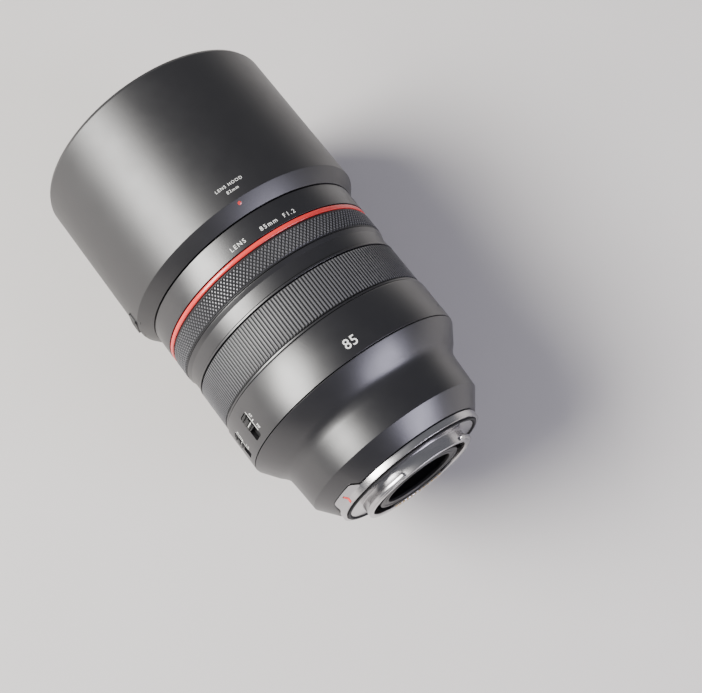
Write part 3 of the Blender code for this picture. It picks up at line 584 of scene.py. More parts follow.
@dataclass(frozen=True)
class Finish:
    """A surface: what it is made of and how it was made.

    The base finish is a sprayed, baked coat. Its fine grain breaks the highlight a little, and
    a wide faint cloudiness keeps large faces from looking printed. Sizes are in mm. Real
    grain and tool marks are near 0.1 mm, too fine to show, so they are drawn several times coarser.
    """

    name: str
    slot: str
    colour: str
    shade: str
    roughness: float
    metallic: float = 0.0
    grain: float = 0.5
    relief: float = 0.003
    cloud: float = 11.0
    spread: float = 0.05
    gloss: float = 0.5

    def material(self) -> bpy.types.Material:
        """Give this finish's material, made the first time it is asked for."""
        known = bpy.data.materials.get(self.name)
        if known:
            return known
        material = bpy.data.materials.new(self.name)
        material.use_nodes = True
        tree = material.node_tree
        tree.nodes.clear()
        shader = add_node(tree, "ShaderNodeBsdfPrincipled", {
            "Base Color": linear(self.colour), "Roughness": self.roughness,
            "Metallic": self.metallic, "Specular IOR Level": self.gloss,
        })
        add_node(tree, "ShaderNodeOutputMaterial", links={"Surface": (shader, "BSDF")})
        place = add_node(tree, "ShaderNodeTexCoord")
        self.weather(tree, shader, place)
        relief = self.pattern(tree, shader, place)
        if relief:
            bump = add_node(tree, "ShaderNodeBump",
                            {"Strength": 1.0, "Distance": self.relief * MM},
                            {"Height": (relief, 0)})
            tree.links.new(bump.outputs[0], shader.inputs["Normal"])
        return material

    def weather(self, tree: Tree, shader: Node, place: Node) -> None:
        """Vary the colour and the roughness over wide, faint patches."""
        cloud = add_node(tree, "ShaderNodeTexNoise",
                         {"Scale": per_mm(self.cloud), "Detail": 4.0, "Roughness": 0.6},
                         {"Vector": (place, "Object")})
        rough = add_node(tree, "ShaderNodeMapRange",
                         {"From Min": 0.3, "From Max": 0.7,
                          "To Min": self.roughness - self.spread,
                          "To Max": self.roughness + self.spread}, {"Value": (cloud, 0)})
        tone = add_node(tree, "ShaderNodeMix",
                        {"data_type": "RGBA", 6: linear(self.shade), 7: linear(self.colour)},
                        {0: (cloud, 0)})
        tree.links.new(rough.outputs[0], shader.inputs["Roughness"])
        tree.links.new(tone.outputs[2], shader.inputs["Base Color"])

    def pattern(self, tree: Tree, shader: Node, place: Node) -> Node | None:
        """Give the node that draws the surface's fine grain, or none where it is smooth."""
        return add_node(tree, "ShaderNodeTexNoise", {"Scale": per_mm(self.grain), "Detail": 2.0},
                        {"Vector": (place, "Object")})

    def dress(self, obj: Obj) -> None:
        """Put this finish on an object, in its one material slot."""
        if obj.material_slots:
            for held in obj.material_slots:
                held.material = self.material()
        else:
            obj.data.materials.append(self.material())


def off_axis(tree: Tree, place: Node) -> tuple[Node, Node]:
    """Measure how far a point lies from the optical axis.

    Args:
        tree: The material's node tree.
        place: The node that gives the object's coordinates.

    Returns:
        The node that splits the coordinates, and the node whose second output is the distance.
    """
    parts = add_node(tree, "ShaderNodeSeparateXYZ", links={0: (place, "Object")})
    flat = add_node(tree, "ShaderNodeCombineXYZ", links={0: (parts, 0), 2: (parts, 2)})
    return parts, add_node(tree, "ShaderNodeVectorMath", {"operation": "LENGTH"}, {0: (flat, 0)})


@dataclass(frozen=True)
class TurnedMetal(Finish):
    """Metal cut on a lathe: fine rings round the optical axis that stretch its highlights."""

    ring: float = 0.35
    stretch: float = 0.4

    def pattern(self, tree: Tree, shader: Node, place: Node) -> Node | None:
        """Draw the tool rings from the radius and the station alone."""
        parts, radius = off_axis(tree, place)
        section = add_node(tree, "ShaderNodeCombineXYZ", links={0: (radius, 1), 1: (parts, 1)})
        shader.inputs["Anisotropic"].default_value = self.stretch
        return add_node(tree, "ShaderNodeTexNoise",
                        {"Scale": per_mm(self.ring), "Detail": 3.0, "Roughness": 0.7},
                        {"Vector": (section, 0)})


@dataclass(frozen=True)
class CrestWearAndLight(Finish):
    """A dark coat over ribs or knurling: the floors are darkened as painted shade, and the crests
    painted paler, partly as finger polish and partly as a painted highlight.
    """

    crest: str = "#4a4a4c"
    floor: float = 50.0
    top: float = 51.0

    def weather(self, tree: Tree, shader: Node, place: Node) -> None:
        """Blend from the painted-shade floor colour to the paler crest colour with the distance
        from the axis.
        """
        _, radius = off_axis(tree, place)
        height = add_node(tree, "ShaderNodeMapRange",
                          {"From Min": self.floor * MM, "From Max": self.top * MM},
                          {"Value": (radius, 1)})
        cloud = add_node(tree, "ShaderNodeTexNoise",
                         {"Scale": per_mm(self.cloud), "Detail": 4.0},
                         {"Vector": (place, "Object")})
        # Noise spreads the paler crests unevenly: part finger polish, part painted highlight.
        wear_and_sheen = add_node(tree, "ShaderNodeMath", {"operation": "MULTIPLY_ADD", 1: 0.5, 2: 0.75},
                        {0: (cloud, 0)})
        share = add_node(tree, "ShaderNodeMath", {"operation": "MULTIPLY", "use_clamp": True},
                         {0: (height, 0), 1: (wear_and_sheen, 0)})
        # Painted shade on the floors between the ribs, and painted highlight mixed with polish on
        # the crests.
        tone = add_node(tree, "ShaderNodeMix",
                        {"data_type": "RGBA", 6: linear(self.shade), 7: linear(self.crest)},
                        {0: (share, 0)})
        tree.links.new(tone.outputs[2], shader.inputs["Base Color"])
        rough = add_node(tree, "ShaderNodeMapRange",
                         {"To Min": self.roughness + self.spread,
                          "To Max": self.roughness - self.spread}, {"Value": (share, 0)})
        tree.links.new(rough.outputs[0], shader.inputs["Roughness"])


@dataclass(frozen=True)
class Flock(Finish):
    """Short nylon fibres standing on glue: they drink light and glow a little at the edges."""

    nap: float = 0.15

    def pattern(self, tree: Tree, shader: Node, place: Node) -> Node | None:
        """Stand the fibres up as small cells."""
        shader.inputs["Sheen Weight"].default_value = self.nap
        shader.inputs["Sheen Roughness"].default_value = 0.6
        return add_node(tree, "ShaderNodeTexVoronoi", {"Scale": per_mm(self.grain)},
                        {"Vector": (place, "Object")})


@dataclass(frozen=True)
class PrintedBoard(Finish):
    """A circuit board: copper tracks under a dark solder mask."""

    track: str = "#3f7a4a"

    def weather(self, tree: Tree, shader: Node, place: Node) -> None:
        """Lay paler tracks between the cells of a square grid."""
        tracks = add_node(tree, "ShaderNodeTexBrick",
                          {"Scale": per_mm(9.0), "Color1": linear(self.colour),
                           "Color2": linear(self.shade), "Mortar": linear(self.track),
                           "Mortar Size": 0.04, "Brick Width": 0.9, "Row Height": 0.3},
                          {"Vector": (place, "Object")})
        tree.links.new(tracks.outputs["Color"], shader.inputs["Base Color"])


@dataclass(frozen=True)
class CoatedGlass(Finish):
    """Optical glass under a vacuum-deposited coating: dark clear depth and coloured glints."""

    index: float = 1.65
    film: float = 320.0

    def weather(self, tree: Tree, shader: Node, place: Node) -> None:
        """Let light through, and give the coating its thickness with a faint wipe mark."""
        shader.inputs["Transmission Weight"].default_value = 1.0
        shader.inputs["IOR"].default_value = self.index
        shader.inputs["Thin Film Thickness"].default_value = self.film
        shader.inputs["Thin Film IOR"].default_value = 1.38
        smear = add_node(tree, "ShaderNodeTexNoise",
                         {"Scale": per_mm(self.cloud), "Detail": 3.0},
                         {"Vector": (place, "Object")})
        rough = add_node(tree, "ShaderNodeMapRange",
                         {"From Min": 0.45, "From Max": 0.8, "To Min": self.roughness,
                          "To Max": self.roughness + self.spread}, {"Value": (smear, 0)})
        tree.links.new(rough.outputs[0], shader.inputs["Roughness"])

    def pattern(self, tree: Tree, shader: Node, place: Node) -> Node | None:
        """Leave the polish smooth."""


@dataclass(frozen=True)
class Finishes:
    """Every finish on the lens."""

    # Baked satin enamel over alloy: a wide soft highlight with barely any grain.
    barrel_enamel: Finish = Finish("satin_black_enamel", "black_paint", "#151417", "#121114",
                                   0.36, spread=0.02, gloss=0.95)
    # Matte paint over moulded resin: a duller, slightly toothed black.
    hood_enamel: Finish = Finish("matte_black_hood_paint", "hood_paint", "#171618", "#131214",
                                 0.43, grain=0.6, relief=0.006, spread=0.02, gloss=0.9)
    # Injection-moulded ABS: even, a little waxy.
    moulded_abs: Finish = Finish("moulded_black_abs", "black_plastic", "#1b1b1c", "#151516",
                                 0.46, grain=0.35, relief=0.004)
    # Moulded nitrile rubber: floors darkened with painted shade, crests painted a little paler,
    # part rubbed and part painted highlight.
    grip_rubber: Finish = CrestWearAndLight("ribbed_nitrile_rubber", "black_rubber", "#2c2c2e",
                                     "#1c1c1e", 0.5, grain=0.4, relief=0.004, crest="#4e4e51",
                                     floor=50.4, top=50.85)
    # Black-anodised aluminium, knurled: bright points, part rubbed and part painted highlight, on a
    # floor darkened with painted shade.
    knurl_anodised: Finish = CrestWearAndLight("black_anodised_knurl", "black_knurl", "#2f2f31",
                                        "#1f1f21", 0.42, metallic=0.4, grain=0.3,
                                        relief=0.002, crest="#68686b", floor=51.2, top=51.55)
    # Nylon flock: the deadest black on the lens.
    nylon_flock: Finish = Flock("nylon_flock", "black_flock", "#0c0c0d", "#080808", 0.95,
                                grain=0.45, relief=0.08, gloss=0.1)
    # Satin chrome over brass: cool, bright, with faint lathe rings.
    satin_chrome: Finish = TurnedMetal("satin_chromed_brass", "satin_metal", "#c4c2c3",
                                       "#b5b3b5", 0.24, metallic=1.0, relief=0.002,
                                       spread=0.03, ring=0.3)
    # Turned aluminium, clear anodised.
    machined_alloy: Finish = TurnedMetal("machined_aluminium", "machined_alloy", "#8d8f92",
                                         "#7c7e82", 0.36, metallic=1.0, relief=0.003, ring=0.4)
    # Turned aluminium, black anodised, as inside a cell.
    black_cell: Finish = TurnedMetal("black_anodised_cell", "black_paint", "#161617", "#111112",
                                     0.5, metallic=0.2, relief=0.006, ring=0.5)
    # Zinc-plated steel: grey, slightly blue.
    screw_steel: Finish = Finish("plated_screw_steel", "screw_steel", "#9a9ca1", "#83858a",
                                 0.28, metallic=1.0, grain=0.3, relief=0.002)
    # Stainless strip and pressings.
    motor_steel: Finish = TurnedMetal("stainless_motor_steel", "motor_steel", "#a09c96",
                                      "#8b8882", 0.33, metallic=1.0, relief=0.002)
    # Turned free-cutting brass.
    motor_brass: Finish = TurnedMetal("turned_brass", "motor_brass", "#b9964f", "#a3813f",
                                      0.3, metallic=1.0, relief=0.003)
    # Hard gold plate over nickel.
    gold_plate: Finish = Finish("gold_plated_contact", "gilt_contact", "#e0b45c", "#d2a24a",
                                0.22, metallic=1.0, grain=0.25, relief=0.001)
    # Fibreglass laminate under green solder mask.
    solder_mask: Finish = PrintedBoard("green_solder_mask", "circuit_board", "#1d4a2a",
                                       "#173f23", 0.35)
    # Carbon steel strip with a dry black coat.
    blade_steel: Finish = Finish("blackened_blade_steel", "blade_steel", "#3a3a3c", "#2f2f31",
                                 0.42, metallic=0.8, grain=0.3, relief=0.002)
    # Gloss stoving enamel: saturated coral red with a hard shine.
    red_gloss: Finish = Finish("gloss_red_enamel", "red_enamel", "#dc3a36", "#cf3431", 0.24,
                               grain=1.2, relief=0.002, spread=0.03, gloss=0.7)
    # Ground optical glass.
    optical_glass: Finish = CoatedGlass("multicoated_glass", "coated_glass", "#dfe9e5",
                                        "#dfe9e5", 0.0, cloud=18.0, spread=0.01)
    # Pad-printed epoxy ink: flat, slightly uneven white.
    white_ink: Finish = Finish("white_pad_print", "", "#e9e9e6", "#dcdcd8", 0.55, cloud=1.5)
    # Nitrile foam seal.
    seal_rubber: Finish = Finish("black_seal_rubber", "black_rubber", "#171718", "#121213",
                                 0.7, grain=0.3, relief=0.006)

    def of_slot(self, slot: str) -> Finish:
        """Give the first finish that belongs to a material slot of the record."""
        return next(f for f in vars(type(self)).values()
                    if isinstance(f, Finish) and f.slot == slot)


@dataclass
class SubAssembly:
    """A group of pieces that is built and dressed together."""

    finishes: Finishes

    def fit(self, piece: Obj, body: Body, finish: Finish, *nodes: str) -> None:
        """Dress a finished piece and hand it to its body.

        Args:
            piece: The piece, with its place in its mesh.
            body: The body that it rides on.
            finish: Its finish.
            nodes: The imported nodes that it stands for.
        """
        finish.dress(piece)
        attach(piece, body.value)
        if nodes:
            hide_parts(*nodes)
        LOG.info("%s: %d faces, rides on %s", piece.name, len(piece.data.polygons), body.value)


@dataclass
class Mount(SubAssembly):
    """The bayonet, its screws and seal, and the bright collar with its index tab."""

    bore: float = 23.4
    tube_radius: float = 25.6
    lug_height: float = 1.3
    lug_stations: Pair = (-4.8, -3.2)
    lug_turns: tuple[Pair, ...] = ((20.0, 70.0), (140.0, 190.0), (260.0, 310.0))
    screw_turns: tuple[float, ...] = (45.0, 135.0, 225.0, 315.0)
    screw_circle: float = 28.6
    screw_head: float = 1.7
    collar_edge: float = 3.2
    collar_radius: float = 34.6
    tab_turns: Pair = (46.0, 84.0)
    tab_ease: Pair = (5.0, 12.0)
    tab_slope: float = 1.15
    index_turn: float = 62.8
    index_stations: Pair = (1.1, 4.3)
    index_section: Pair = (1.1, 0.7)

    def build(self) -> None:
        """Build every piece of the mount."""
        self.bayonet()
        self.screws()
        self.seal()
        self.collar()
        self.index_line()

    def bayonet(self) -> None:
        """Build the throat tube with its lugs and the flange plate."""
        plate = Envelope.of("bayonet_mount")
        low, high = self.lug_stations
        ring = turned("bayonet_plate", [
            (plate.rear, self.bore + 0.4), (plate.rear + 0.4, self.bore), (plate.front, self.bore),
            (plate.front, plate.radius), (0.0, plate.radius, 0.25), (0.0, 26.1),
            (-0.12, self.tube_radius), (high, self.tube_radius), (low, self.tube_radius),
            (plate.rear, self.tube_radius, 0.3),
        ])
        raise_lugs(ring, self.lug_stations, self.lug_turns, self.tube_radius, self.lug_height)
        soften(ring, 0.18)
        for turn in self.screw_turns:
            carve(ring, pillar("screw_seat", self.screw_head + 0.35,
                               spot(-0.5, self.screw_circle, turn),
                               spot(1.0, self.screw_circle, turn), 40))
        self.fit(shade(ring), Body.BARREL, self.finishes.satin_chrome, "bayonet_mount")

    def screws(self) -> None:
        """Build one cross-headed screw and copy it round the flange."""
        turn = self.screw_turns[0]
        face = spot(0.0, self.screw_circle, turn)
        back = spot(0.7, self.screw_circle, turn)
        first = pillar("flange_screw_1", self.screw_head, face, back, 40)
        soften(first, 0.22)
        for width, length in ((0.42, 2.0), (2.0, 0.42)):
            carve(first, block("cross", (0.9, width, length), 0.0, self.screw_circle, turn))
        shank = pillar("shank", 0.8, back, spot(3.6, self.screw_circle, turn), 20)
        first = joined("flange_screw_1", [first, shank])
        shade(first)
        for i, place in enumerate(self.screw_turns, 1):
            screw = first if i == 1 else turned_copy(first, f"flange_screw_{i}", place - turn)
            self.fit(screw, Body.BARREL, self.finishes.screw_steel, f"mount_screw_{i}")

    def seal(self) -> None:
        """Build the rubber ring that keeps rain out of the joint."""
        room = Envelope.of("mount_seal")
        inner = 31.6
        ring = turned("flange_seal", [
            (room.rear, inner + 0.3, 0.2), (room.rear, room.radius, 0.35),
            (room.rear + 0.9, room.radius - 0.25), (room.front, room.radius), (room.front, inner),
        ])
        self.fit(shade(ring), Body.BARREL, self.finishes.seal_rubber, "mount_seal")

    def tab_rise(self, turn: float) -> float:
        """Give how much of its full height the tab has at a turn, from 0 to 1."""
        start, end = self.tab_turns
        return (s_curve(turn, start - 1.0, start + self.tab_ease[0])
                - s_curve(turn, end - self.tab_ease[1], end + 1.0))

    def tab_reach(self) -> float:
        """Give how far the tab stands forward of the collar's edge."""
        return Envelope.of("mount_collar").front - self.collar_edge

    def collar(self) -> None:
        """Build the bright collar and draw its front edge out into the index tab."""
        edge, outer, inner = self.collar_edge, self.collar_radius, 32.0
        reach = self.tab_reach()
        ring = turned("bright_collar", [
            (0.3, 33.3), (0.3, outer, 0.2), (edge - 0.3, outer), (edge - 0.15, outer),
            (edge, outer - 0.15), (edge, inner), (1.6, inner), (1.6, 33.3),
        ], columns=360)

        def draw_tab(point: Vector) -> Vector:
            """Move the front edge forward and outward under the tab."""
            station, radius, turn = seat_of(point)
            share = self.tab_rise(turn) if station > edge - 0.2 else 0.0
            return spot(station + reach * share, radius + self.tab_slope * reach * share, turn)

        reshape(ring, draw_tab)
        carve(ring, self.index_block("index_groove", 0.16))
        self.fit(shade(ring), Body.BARREL, self.finishes.satin_chrome, "mount_collar")

    def index_block(self, name: str, room: float) -> Obj:
        """Make a rounded bar that follows the collar and climbs the tab.

        Args:
            name: Name of the new object.
            room: How much wider, longer and deeper it is than the line itself.

        Returns:
            The bar.
        """
        rear, front = self.index_stations
        width, depth = self.index_section
        foot = self.collar_edge - 0.3
        bar = block(name, (front - rear + 2 * room, width + 2 * room, depth + 2 * room),
                    (rear + front) / 2, self.collar_radius - 0.22, self.index_turn)
        soften(bar, 0.12)
        slice_at(bar, foot)

        def climb(point: Vector) -> Vector:
            """Lift what lies in front of the collar's edge up the tab's slope."""
            station, radius, turn = seat_of(point)
            lift = max(station - foot, 0.0) * self.tab_slope * 0.9
            return spot(station, radius + lift, turn)

        reshape(bar, climb)
        return bar

    def index_line(self) -> None:
        """Fill the groove in the tab with the red index line."""
        self.fit(shade(self.index_block("red_index_line", 0.0)), Body.BARREL,
                 self.finishes.red_gloss, "mount_index_bead")


@dataclass
class RearEnd(SubAssembly):
    """What shows inside the mount: the baffle and the contacts in their block."""

    contact_turns: Pair = (145.0, 215.0)
    contacts: int = 12
    block_radii: Pair = (20.0, 23.0)
    pad_size: Triple = (0.3, 1.0, 1.5)
    pad_station: float = -5.42
    pad_radius: float = 21.5

    def build(self) -> None:
        """Build every piece of the rear end."""
        self.baffle()
        self.contact_block()
        self.contact_pads()

    def baffle(self) -> None:
        """Build the stepped black baffle round the rear opening."""
        room = Envelope.of("rear_baffle")
        low, wide, lip = room.rear, room.radius, 15.7
        ring = turned("rear_light_baffle", [
            (low, lip, 0.3), (low, lip + 1.2), (low + 0.25, lip + 1.4), (low + 0.25, lip + 2.4),
            (low, lip + 2.6), (low, wide, 0.3), (room.front, wide), (room.front, wide - 1.0),
            (low + 1.2, wide - 1.0), (low + 1.2, lip),
        ])
        self.fit(shade(ring), Body.BARREL, self.finishes.moulded_abs, "rear_baffle")

    def contact_block(self) -> None:
        """Build the moulded arc that holds the contacts."""
        inner, outer = self.block_radii
        arc = turned("contact_arc", [
            (-5.0, inner), (-5.0, outer), (-4.0, outer), (1.4, outer), (1.4, inner),
            (-4.4, inner),
        ], self.contact_turns, 60)
        soften(arc, 0.3)
        self.fit(shade(arc), Body.BARREL, self.finishes.moulded_abs, "contact_block")

    def contact_pads(self) -> None:
        """Build a gilt pad at each contact along the arc, and join them into one piece."""
        start, end = self.contact_turns
        step = (end - start) / self.contacts
        pads = []
        for i in range(self.contacts):
            pad = block("pad", self.pad_size, self.pad_station, self.pad_radius,
                        start + (i + 0.5) * step)
            pads.append(soften(pad, 0.14))
        strip = joined("gilt_contact_pads", pads)
        self.fit(shade(strip), Body.BARREL, self.finishes.gold_plate, "contact_strip")


@dataclass
class RearShell(SubAssembly):
    """The flared rear cover, which is cut back round the collar's tab."""

    mount: Mount
    clearance: float = 0.2
    clearance_turn: float = 1.2
    cone_slope: float = 0.77

    def build(self) -> None:
        """Build the rear cover."""
        room = Envelope.of("rear_cover")
        outside = [
            (room.rear, 35.5, 0.2), (11.4, 41.6, 0.5), (18.0, 42.0), (24.0, 42.4),
            (27.2, 42.75), (29.0, 43.7), (30.4, 44.85), (32.0, 46.35), (room.front, 51.3, 0.25),
        ]
        inside = [
            (room.front, 49.1), (31.5, 43.8), (29.5, 42.0), (24.0, 40.2), (11.4, 39.4),
            (room.rear, 33.3),
        ]
        shell = turned("flared_rear_cover", outside + inside, columns=360)
        depth = self.mount.tab_reach() + self.clearance - (room.rear - self.mount.collar_edge)

        def cut_back(point: Vector) -> Vector:
            """Move the rear edge forward round the tab, up the slope of the cone."""
            station, radius, turn = seat_of(point)
            if station > room.rear + 0.7:
                return point
            share = max(self.mount.tab_rise(turn + side * self.clearance_turn)
                        for side in (-1, 1))
            return spot(station + depth * share, radius + self.cone_slope * depth * share, turn)

        reshape(shell, cut_back)
        self.fit(shade(shell, 22.0), Body.BARREL, self.finishes.barrel_enamel, "rear_cover")


@dataclass
class SwitchBarrel(SubAssembly):
    """The wide barrel with its two slide switches and its printed marks."""

    switches: tuple[tuple[str, float, Body, tuple[str, str]], ...] = (
        ("af_mf", 62.8, Body.AF_MF_SWITCH, ("AF", "MF")),
        ("limiter", 82.0, Body.LIMITER_SWITCH, ("FULL", "1.5")))
    window: Pair = (11.5, 5.0)
    window_rear: float = 42.0
    knob_width: float = 4.2
    shelf: float = 51.35
    tick_station: float = 48.6
    tray_radii: Pair = (49.16, 49.32)
    tray_half_turn: float = 3.9

    def surface(self, station: float) -> float:
        """Give the barrel's outer radius at a station."""
        room = Envelope.of("switch_barrel")
        return room.radius - 0.1 * (room.front - station) / (room.front - room.rear)

    def build(self) -> None:
        """Build the barrel, its switches and its marks."""
        self.barrel()
        for label, turn, body, _ in self.switches:
            self.bed(label, turn)
            self.knob(label, turn, body)
        self.marks()

    def barrel(self) -> None:
        """Build the shell and cut its two windows."""
        room = Envelope.of("switch_barrel")
        shell = turned("switch_shell", [
            (room.rear, 49.6), (room.rear, room.radius - 0.1, 0.2),
            (room.front - 0.6, room.radius), (room.front, room.radius - 0.25, 0.1),
            (room.front, 49.6),
        ], columns=360)
        middle = self.window_rear + self.window[0] / 2
        for _, turn, *_ in self.switches:
            carve(shell, slot_cutter((*self.window, 5.0), middle, room.radius, turn, 0.7))
        self.fit(shade(shell), Body.BARREL, self.finishes.barrel_enamel, "switch_barrel")

    def bed(self, label: str, turn: float) -> None:
        """Build the black tray that closes a window from below."""
        rear, front = self.window_rear - 0.8, self.window_rear + self.window[0] + 0.8
        floor, top = self.tray_radii
        tray = turned(f"{label}_tray", [
            (rear, floor), (rear, top), (rear + 1.5, top), (front, top), (front, floor),
        ], (turn - self.tray_half_turn, turn + self.tray_half_turn), 10)
        self.fit(soften(tray, 0.03), Body.BARREL, self.finishes.moulded_abs)

    def knob(self, label: str, turn: float, body: Body) -> None:
        """Build a slide knob with raised finger ridges."""
        low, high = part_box(f"{label}_knob")
        rear, front = -high.y / MM, -low.y / MM
        bottom, shelf, top = 49.4, self.shelf, 52.0
        knob = block(f"{label}_slider", (front - rear, self.knob_width, shelf - bottom),
                     (rear + front) / 2, (bottom + shelf) / 2, turn)
        cuts = 8
        slice_at(knob, *(rear + (front - rear) * i / cuts for i in range(1, cuts)))
        pitch = (front - rear) / cuts
        outward = spot(0.0, 1.0, turn)

        def on_ridge(station: float, radius: float, _: float) -> bool:
            """Tell whether a face of the shelf belongs to a ridge."""
            strip = int((station - rear) / pitch)
            return radius > shelf - 0.02 and strip in (1, 3, 4, 6)

        pick_faces(knob, on_ridge)
        bpy.ops.mesh.extrude_region_move(
            TRANSFORM_OT_translate={"value": outward * (top - shelf - 0.03)})
        close_edit()
        soften(knob, 0.13)
        self.fit(shade(knob), body, self.finishes.moulded_abs, f"{label}_knob")
        bar = block(f"{label}_knob_mark", (0.42, self.knob_width - 0.8, 0.06), self.tick_station,
                    shelf + 0.03, turn)
        self.fit(soften(bar, 0.02), body, self.finishes.white_ink)

    def marks(self) -> None:
        """Print the focal length and the marks beside the switches."""
        half = math.degrees(self.window[1] / 2 / 51.4)
        middle = self.window_rear + self.window[0] / 2
        ink = [lettering("focal_length_mark", "85", 4.3, 45.1, -1.3, self.surface,
                         Reading.FRONT_UP, 0.004)]
        for label, turn, _, words in self.switches:
            line = turn - half - 0.4
            bars = [
                self.stripe((9.2, 0.24), middle + 0.95, line),
                self.stripe((0.42, 1.5), self.tick_station, line - 0.75),
            ]
            ink.append(joined(f"{label}_scale_mark", bars))
            for word, station in zip(words, (middle + 2.9, middle - 2.6)):
                ink.append(lettering(f"{label}_{word.replace('.', '_').lower()}_mark", word, 1.25,
                                     station, line - 1.8, self.surface, Reading.TOP_UP))
        for mark in ink:
            self.fit(mark, Body.BARREL, self.finishes.white_ink)

    def stripe(self, size: Pair, station: float, turn: float) -> Obj:
        """Print a straight bar of a length along the axis and a width round it."""
        skin = self.surface(station)
        bar = block("stripe", (*size, 2 * PRINT_DEPTH), station, skin, turn)

        def bend(point: Vector) -> Vector:
            """Lay one side of the bar just above the barrel and the other just below."""
            here, radius, place = seat_of(point)
            return spot(here, skin + math.copysign(PRINT_DEPTH, radius - skin), place)

        reshape(bar, bend)
        return soften(bar, 0.02)


@dataclass
class Rings(SubAssembly):
    """The ribbed focus ring, the middle ring, the knurled control ring and the red ring."""

    ribs: int = 217
    diamonds: int = 184
    diamond_rows: int = 4
    diamond_gap: float = 0.47
    diamond_height: float = 0.4

    def build(self) -> None:
        """Build every ring."""
        self.focus_carrier()
        self.focus_ribs()
        self.middle_ring()
        self.control_ring()
        self.red_ring()

    def focus_carrier(self) -> None:
        """Build the alloy ring with a lip at each end of the rubber."""
        room = Envelope.of("focus_ring")
        lip, floor, bore, top = 1.0, 49.4, 48.1, room.radius
        ring = turned("focus_ring_carrier", [
            (room.rear, bore), (room.rear, top, 0.2), (room.rear + lip - 0.1, top, 0.2),
            (room.rear + lip, floor), (room.front - lip, floor), (room.front - lip + 0.1, top, 0.2),
            (room.front, top, 0.2), (room.front, bore),
        ])
        self.fit(shade(ring), Body.FOCUS_RING, self.finishes.barrel_enamel, "focus_ring")

    def focus_ribs(self) -> None:
        """Build the rubber band and raise every second column of it as a rib."""
        room = Envelope.of("focus_grip")
        base, end = 50.35, 0.35
        band = turned("focus_rib_rubber", [
            (room.rear, 49.7), (room.rear, base), (room.rear + end, base),
            (room.front - end, base), (room.front, base), (room.front, 49.7),
        ], columns=2 * self.ribs)
        column = 180.0 / self.ribs
        raise_patch(
            band,
            lambda station, radius, turn: radius > base - 0.05
            and room.rear + end < station < room.front - end and int(turn / column) % 2 == 0,
            base, room.radius - base - 0.02,
        )
        soften(band, 0.2, 40.0)
        self.fit(shade(band, 40.0), Body.FOCUS_RING, self.finishes.grip_rubber, "focus_grip")

    def middle_ring(self) -> None:
        """Build the smooth ring between the two that turn."""
        room = Envelope.of("middle_ring")
        ring = turned("smooth_middle_ring", [
            (room.rear, 47.9), (room.rear, 50.3, 0.15), (86.0, 50.6, 0.6),
            (room.front, room.radius, 0.2), (room.front, 47.9),
        ])
        self.fit(shade(ring), Body.BARREL, self.finishes.barrel_enamel, "middle_ring")

    def control_ring(self) -> None:
        """Build the control ring and cut its diamond knurl.

        Each square of the band is split to its middle, and the old rows and columns are
        dissolved. That leaves a net of diamonds, and each one is inset and raised.
        """
        room = Envelope.of("control_ring")
        margin, floor, bore = 0.55, 51.15, 48.1
        rows = [room.rear + margin + (room.front - room.rear - 2 * margin) * i / self.diamond_rows
                for i in range(self.diamond_rows + 1)]
        ring = turned("knurled_control_ring", [
            (room.rear, bore), (room.rear, floor - 0.15, 0.1), (rows[0] - 0.3, floor - 0.05),
            *((row, floor) for row in rows),
            (rows[-1] + 0.3, floor - 0.05), (room.front, floor - 0.15, 0.1), (room.front, bore),
        ], columns=self.diamonds)
        corners = len(ring.data.vertices)

        def in_knurl(station: float, radius: float, _: float) -> bool:
            """Tell whether a place lies in the knurled band."""
            return rows[0] - 0.01 < station < rows[-1] + 0.01 and radius > floor - 0.1

        pick_faces(ring, in_knurl)
        bpy.ops.mesh.poke()
        close_edit()

        def on_old_grid(edge: bpy.types.MeshEdge, start: Vector, end: Vector) -> bool:
            """Tell whether an edge inside the band was there before the squares were split."""
            middle = seat_of((start + end) / 2)
            return (max(edge.vertices) < corners and in_knurl(*middle)
                    and rows[0] + 0.01 < middle[0] < rows[-1] - 0.01)

        pick_edges(ring, on_old_grid)
        bpy.ops.mesh.dissolve_edges(use_verts=False)
        close_edit()
        pick_faces(ring, in_knurl)
        bpy.ops.mesh.inset(use_individual=True, thickness=self.diamond_gap * MM,
                           depth=self.diamond_height * MM)
        close_edit()
        self.fit(shade(ring, 20.0), Body.CONTROL_RING, self.finishes.knurl_anodised,
                 "control_ring")

    def red_ring(self) -> None:
        """Build the narrow rounded red ring."""
        room = Envelope.of("red_ring")
        ring = turned("red_enamel_ring", [
            (room.rear, 50.0), (room.rear, room.radius - 0.05, 0.9),
            (room.front, room.radius - 0.05, 0.9), (room.front, 50.0),
        ])
        self.fit(shade(ring, 40.0), Body.BARREL, self.finishes.red_gloss, "red_ring")


@dataclass
class LensGroup:
    """One cemented group of glass: its rim and its two vertices."""

    number: int
    rim: Pair
    vertices: Pair

    def section(self, radius: float, steps: int = 14) -> list[Corner]:
        """Draw the section from the rear vertex round the rim to the front vertex.

        Args:
            radius: The group's outer radius.
            steps: Edges along each face.

        Returns:
            The outline, which starts and ends on the axis.
        """
        def face(rim: float, vertex: float) -> list[Corner]:
            """Draw one spherical face from the axis to the rim."""
            depth = vertex - rim
            if abs(depth) < 0.01:
                return [(vertex, radius * i / steps) for i in range(steps)]
            ball = (radius**2 + depth**2) / (2 * abs(depth))
            sign = math.copysign(1.0, depth)
            return [
                (vertex - sign * (ball - math.sqrt(ball**2 - (radius * i / steps) ** 2)),
                 radius * i / steps) for i in range(steps)
            ]

        rear, front = face(self.rim[0], self.vertices[0]), face(self.rim[1], self.vertices[1])
        edge = [(self.rim[0], radius - 0.15), (self.rim[0] + 0.15, radius),
                (self.rim[1] - 0.15, radius), (self.rim[1], radius - 0.15)]
        return [*rear, *edge, *reversed(front)]


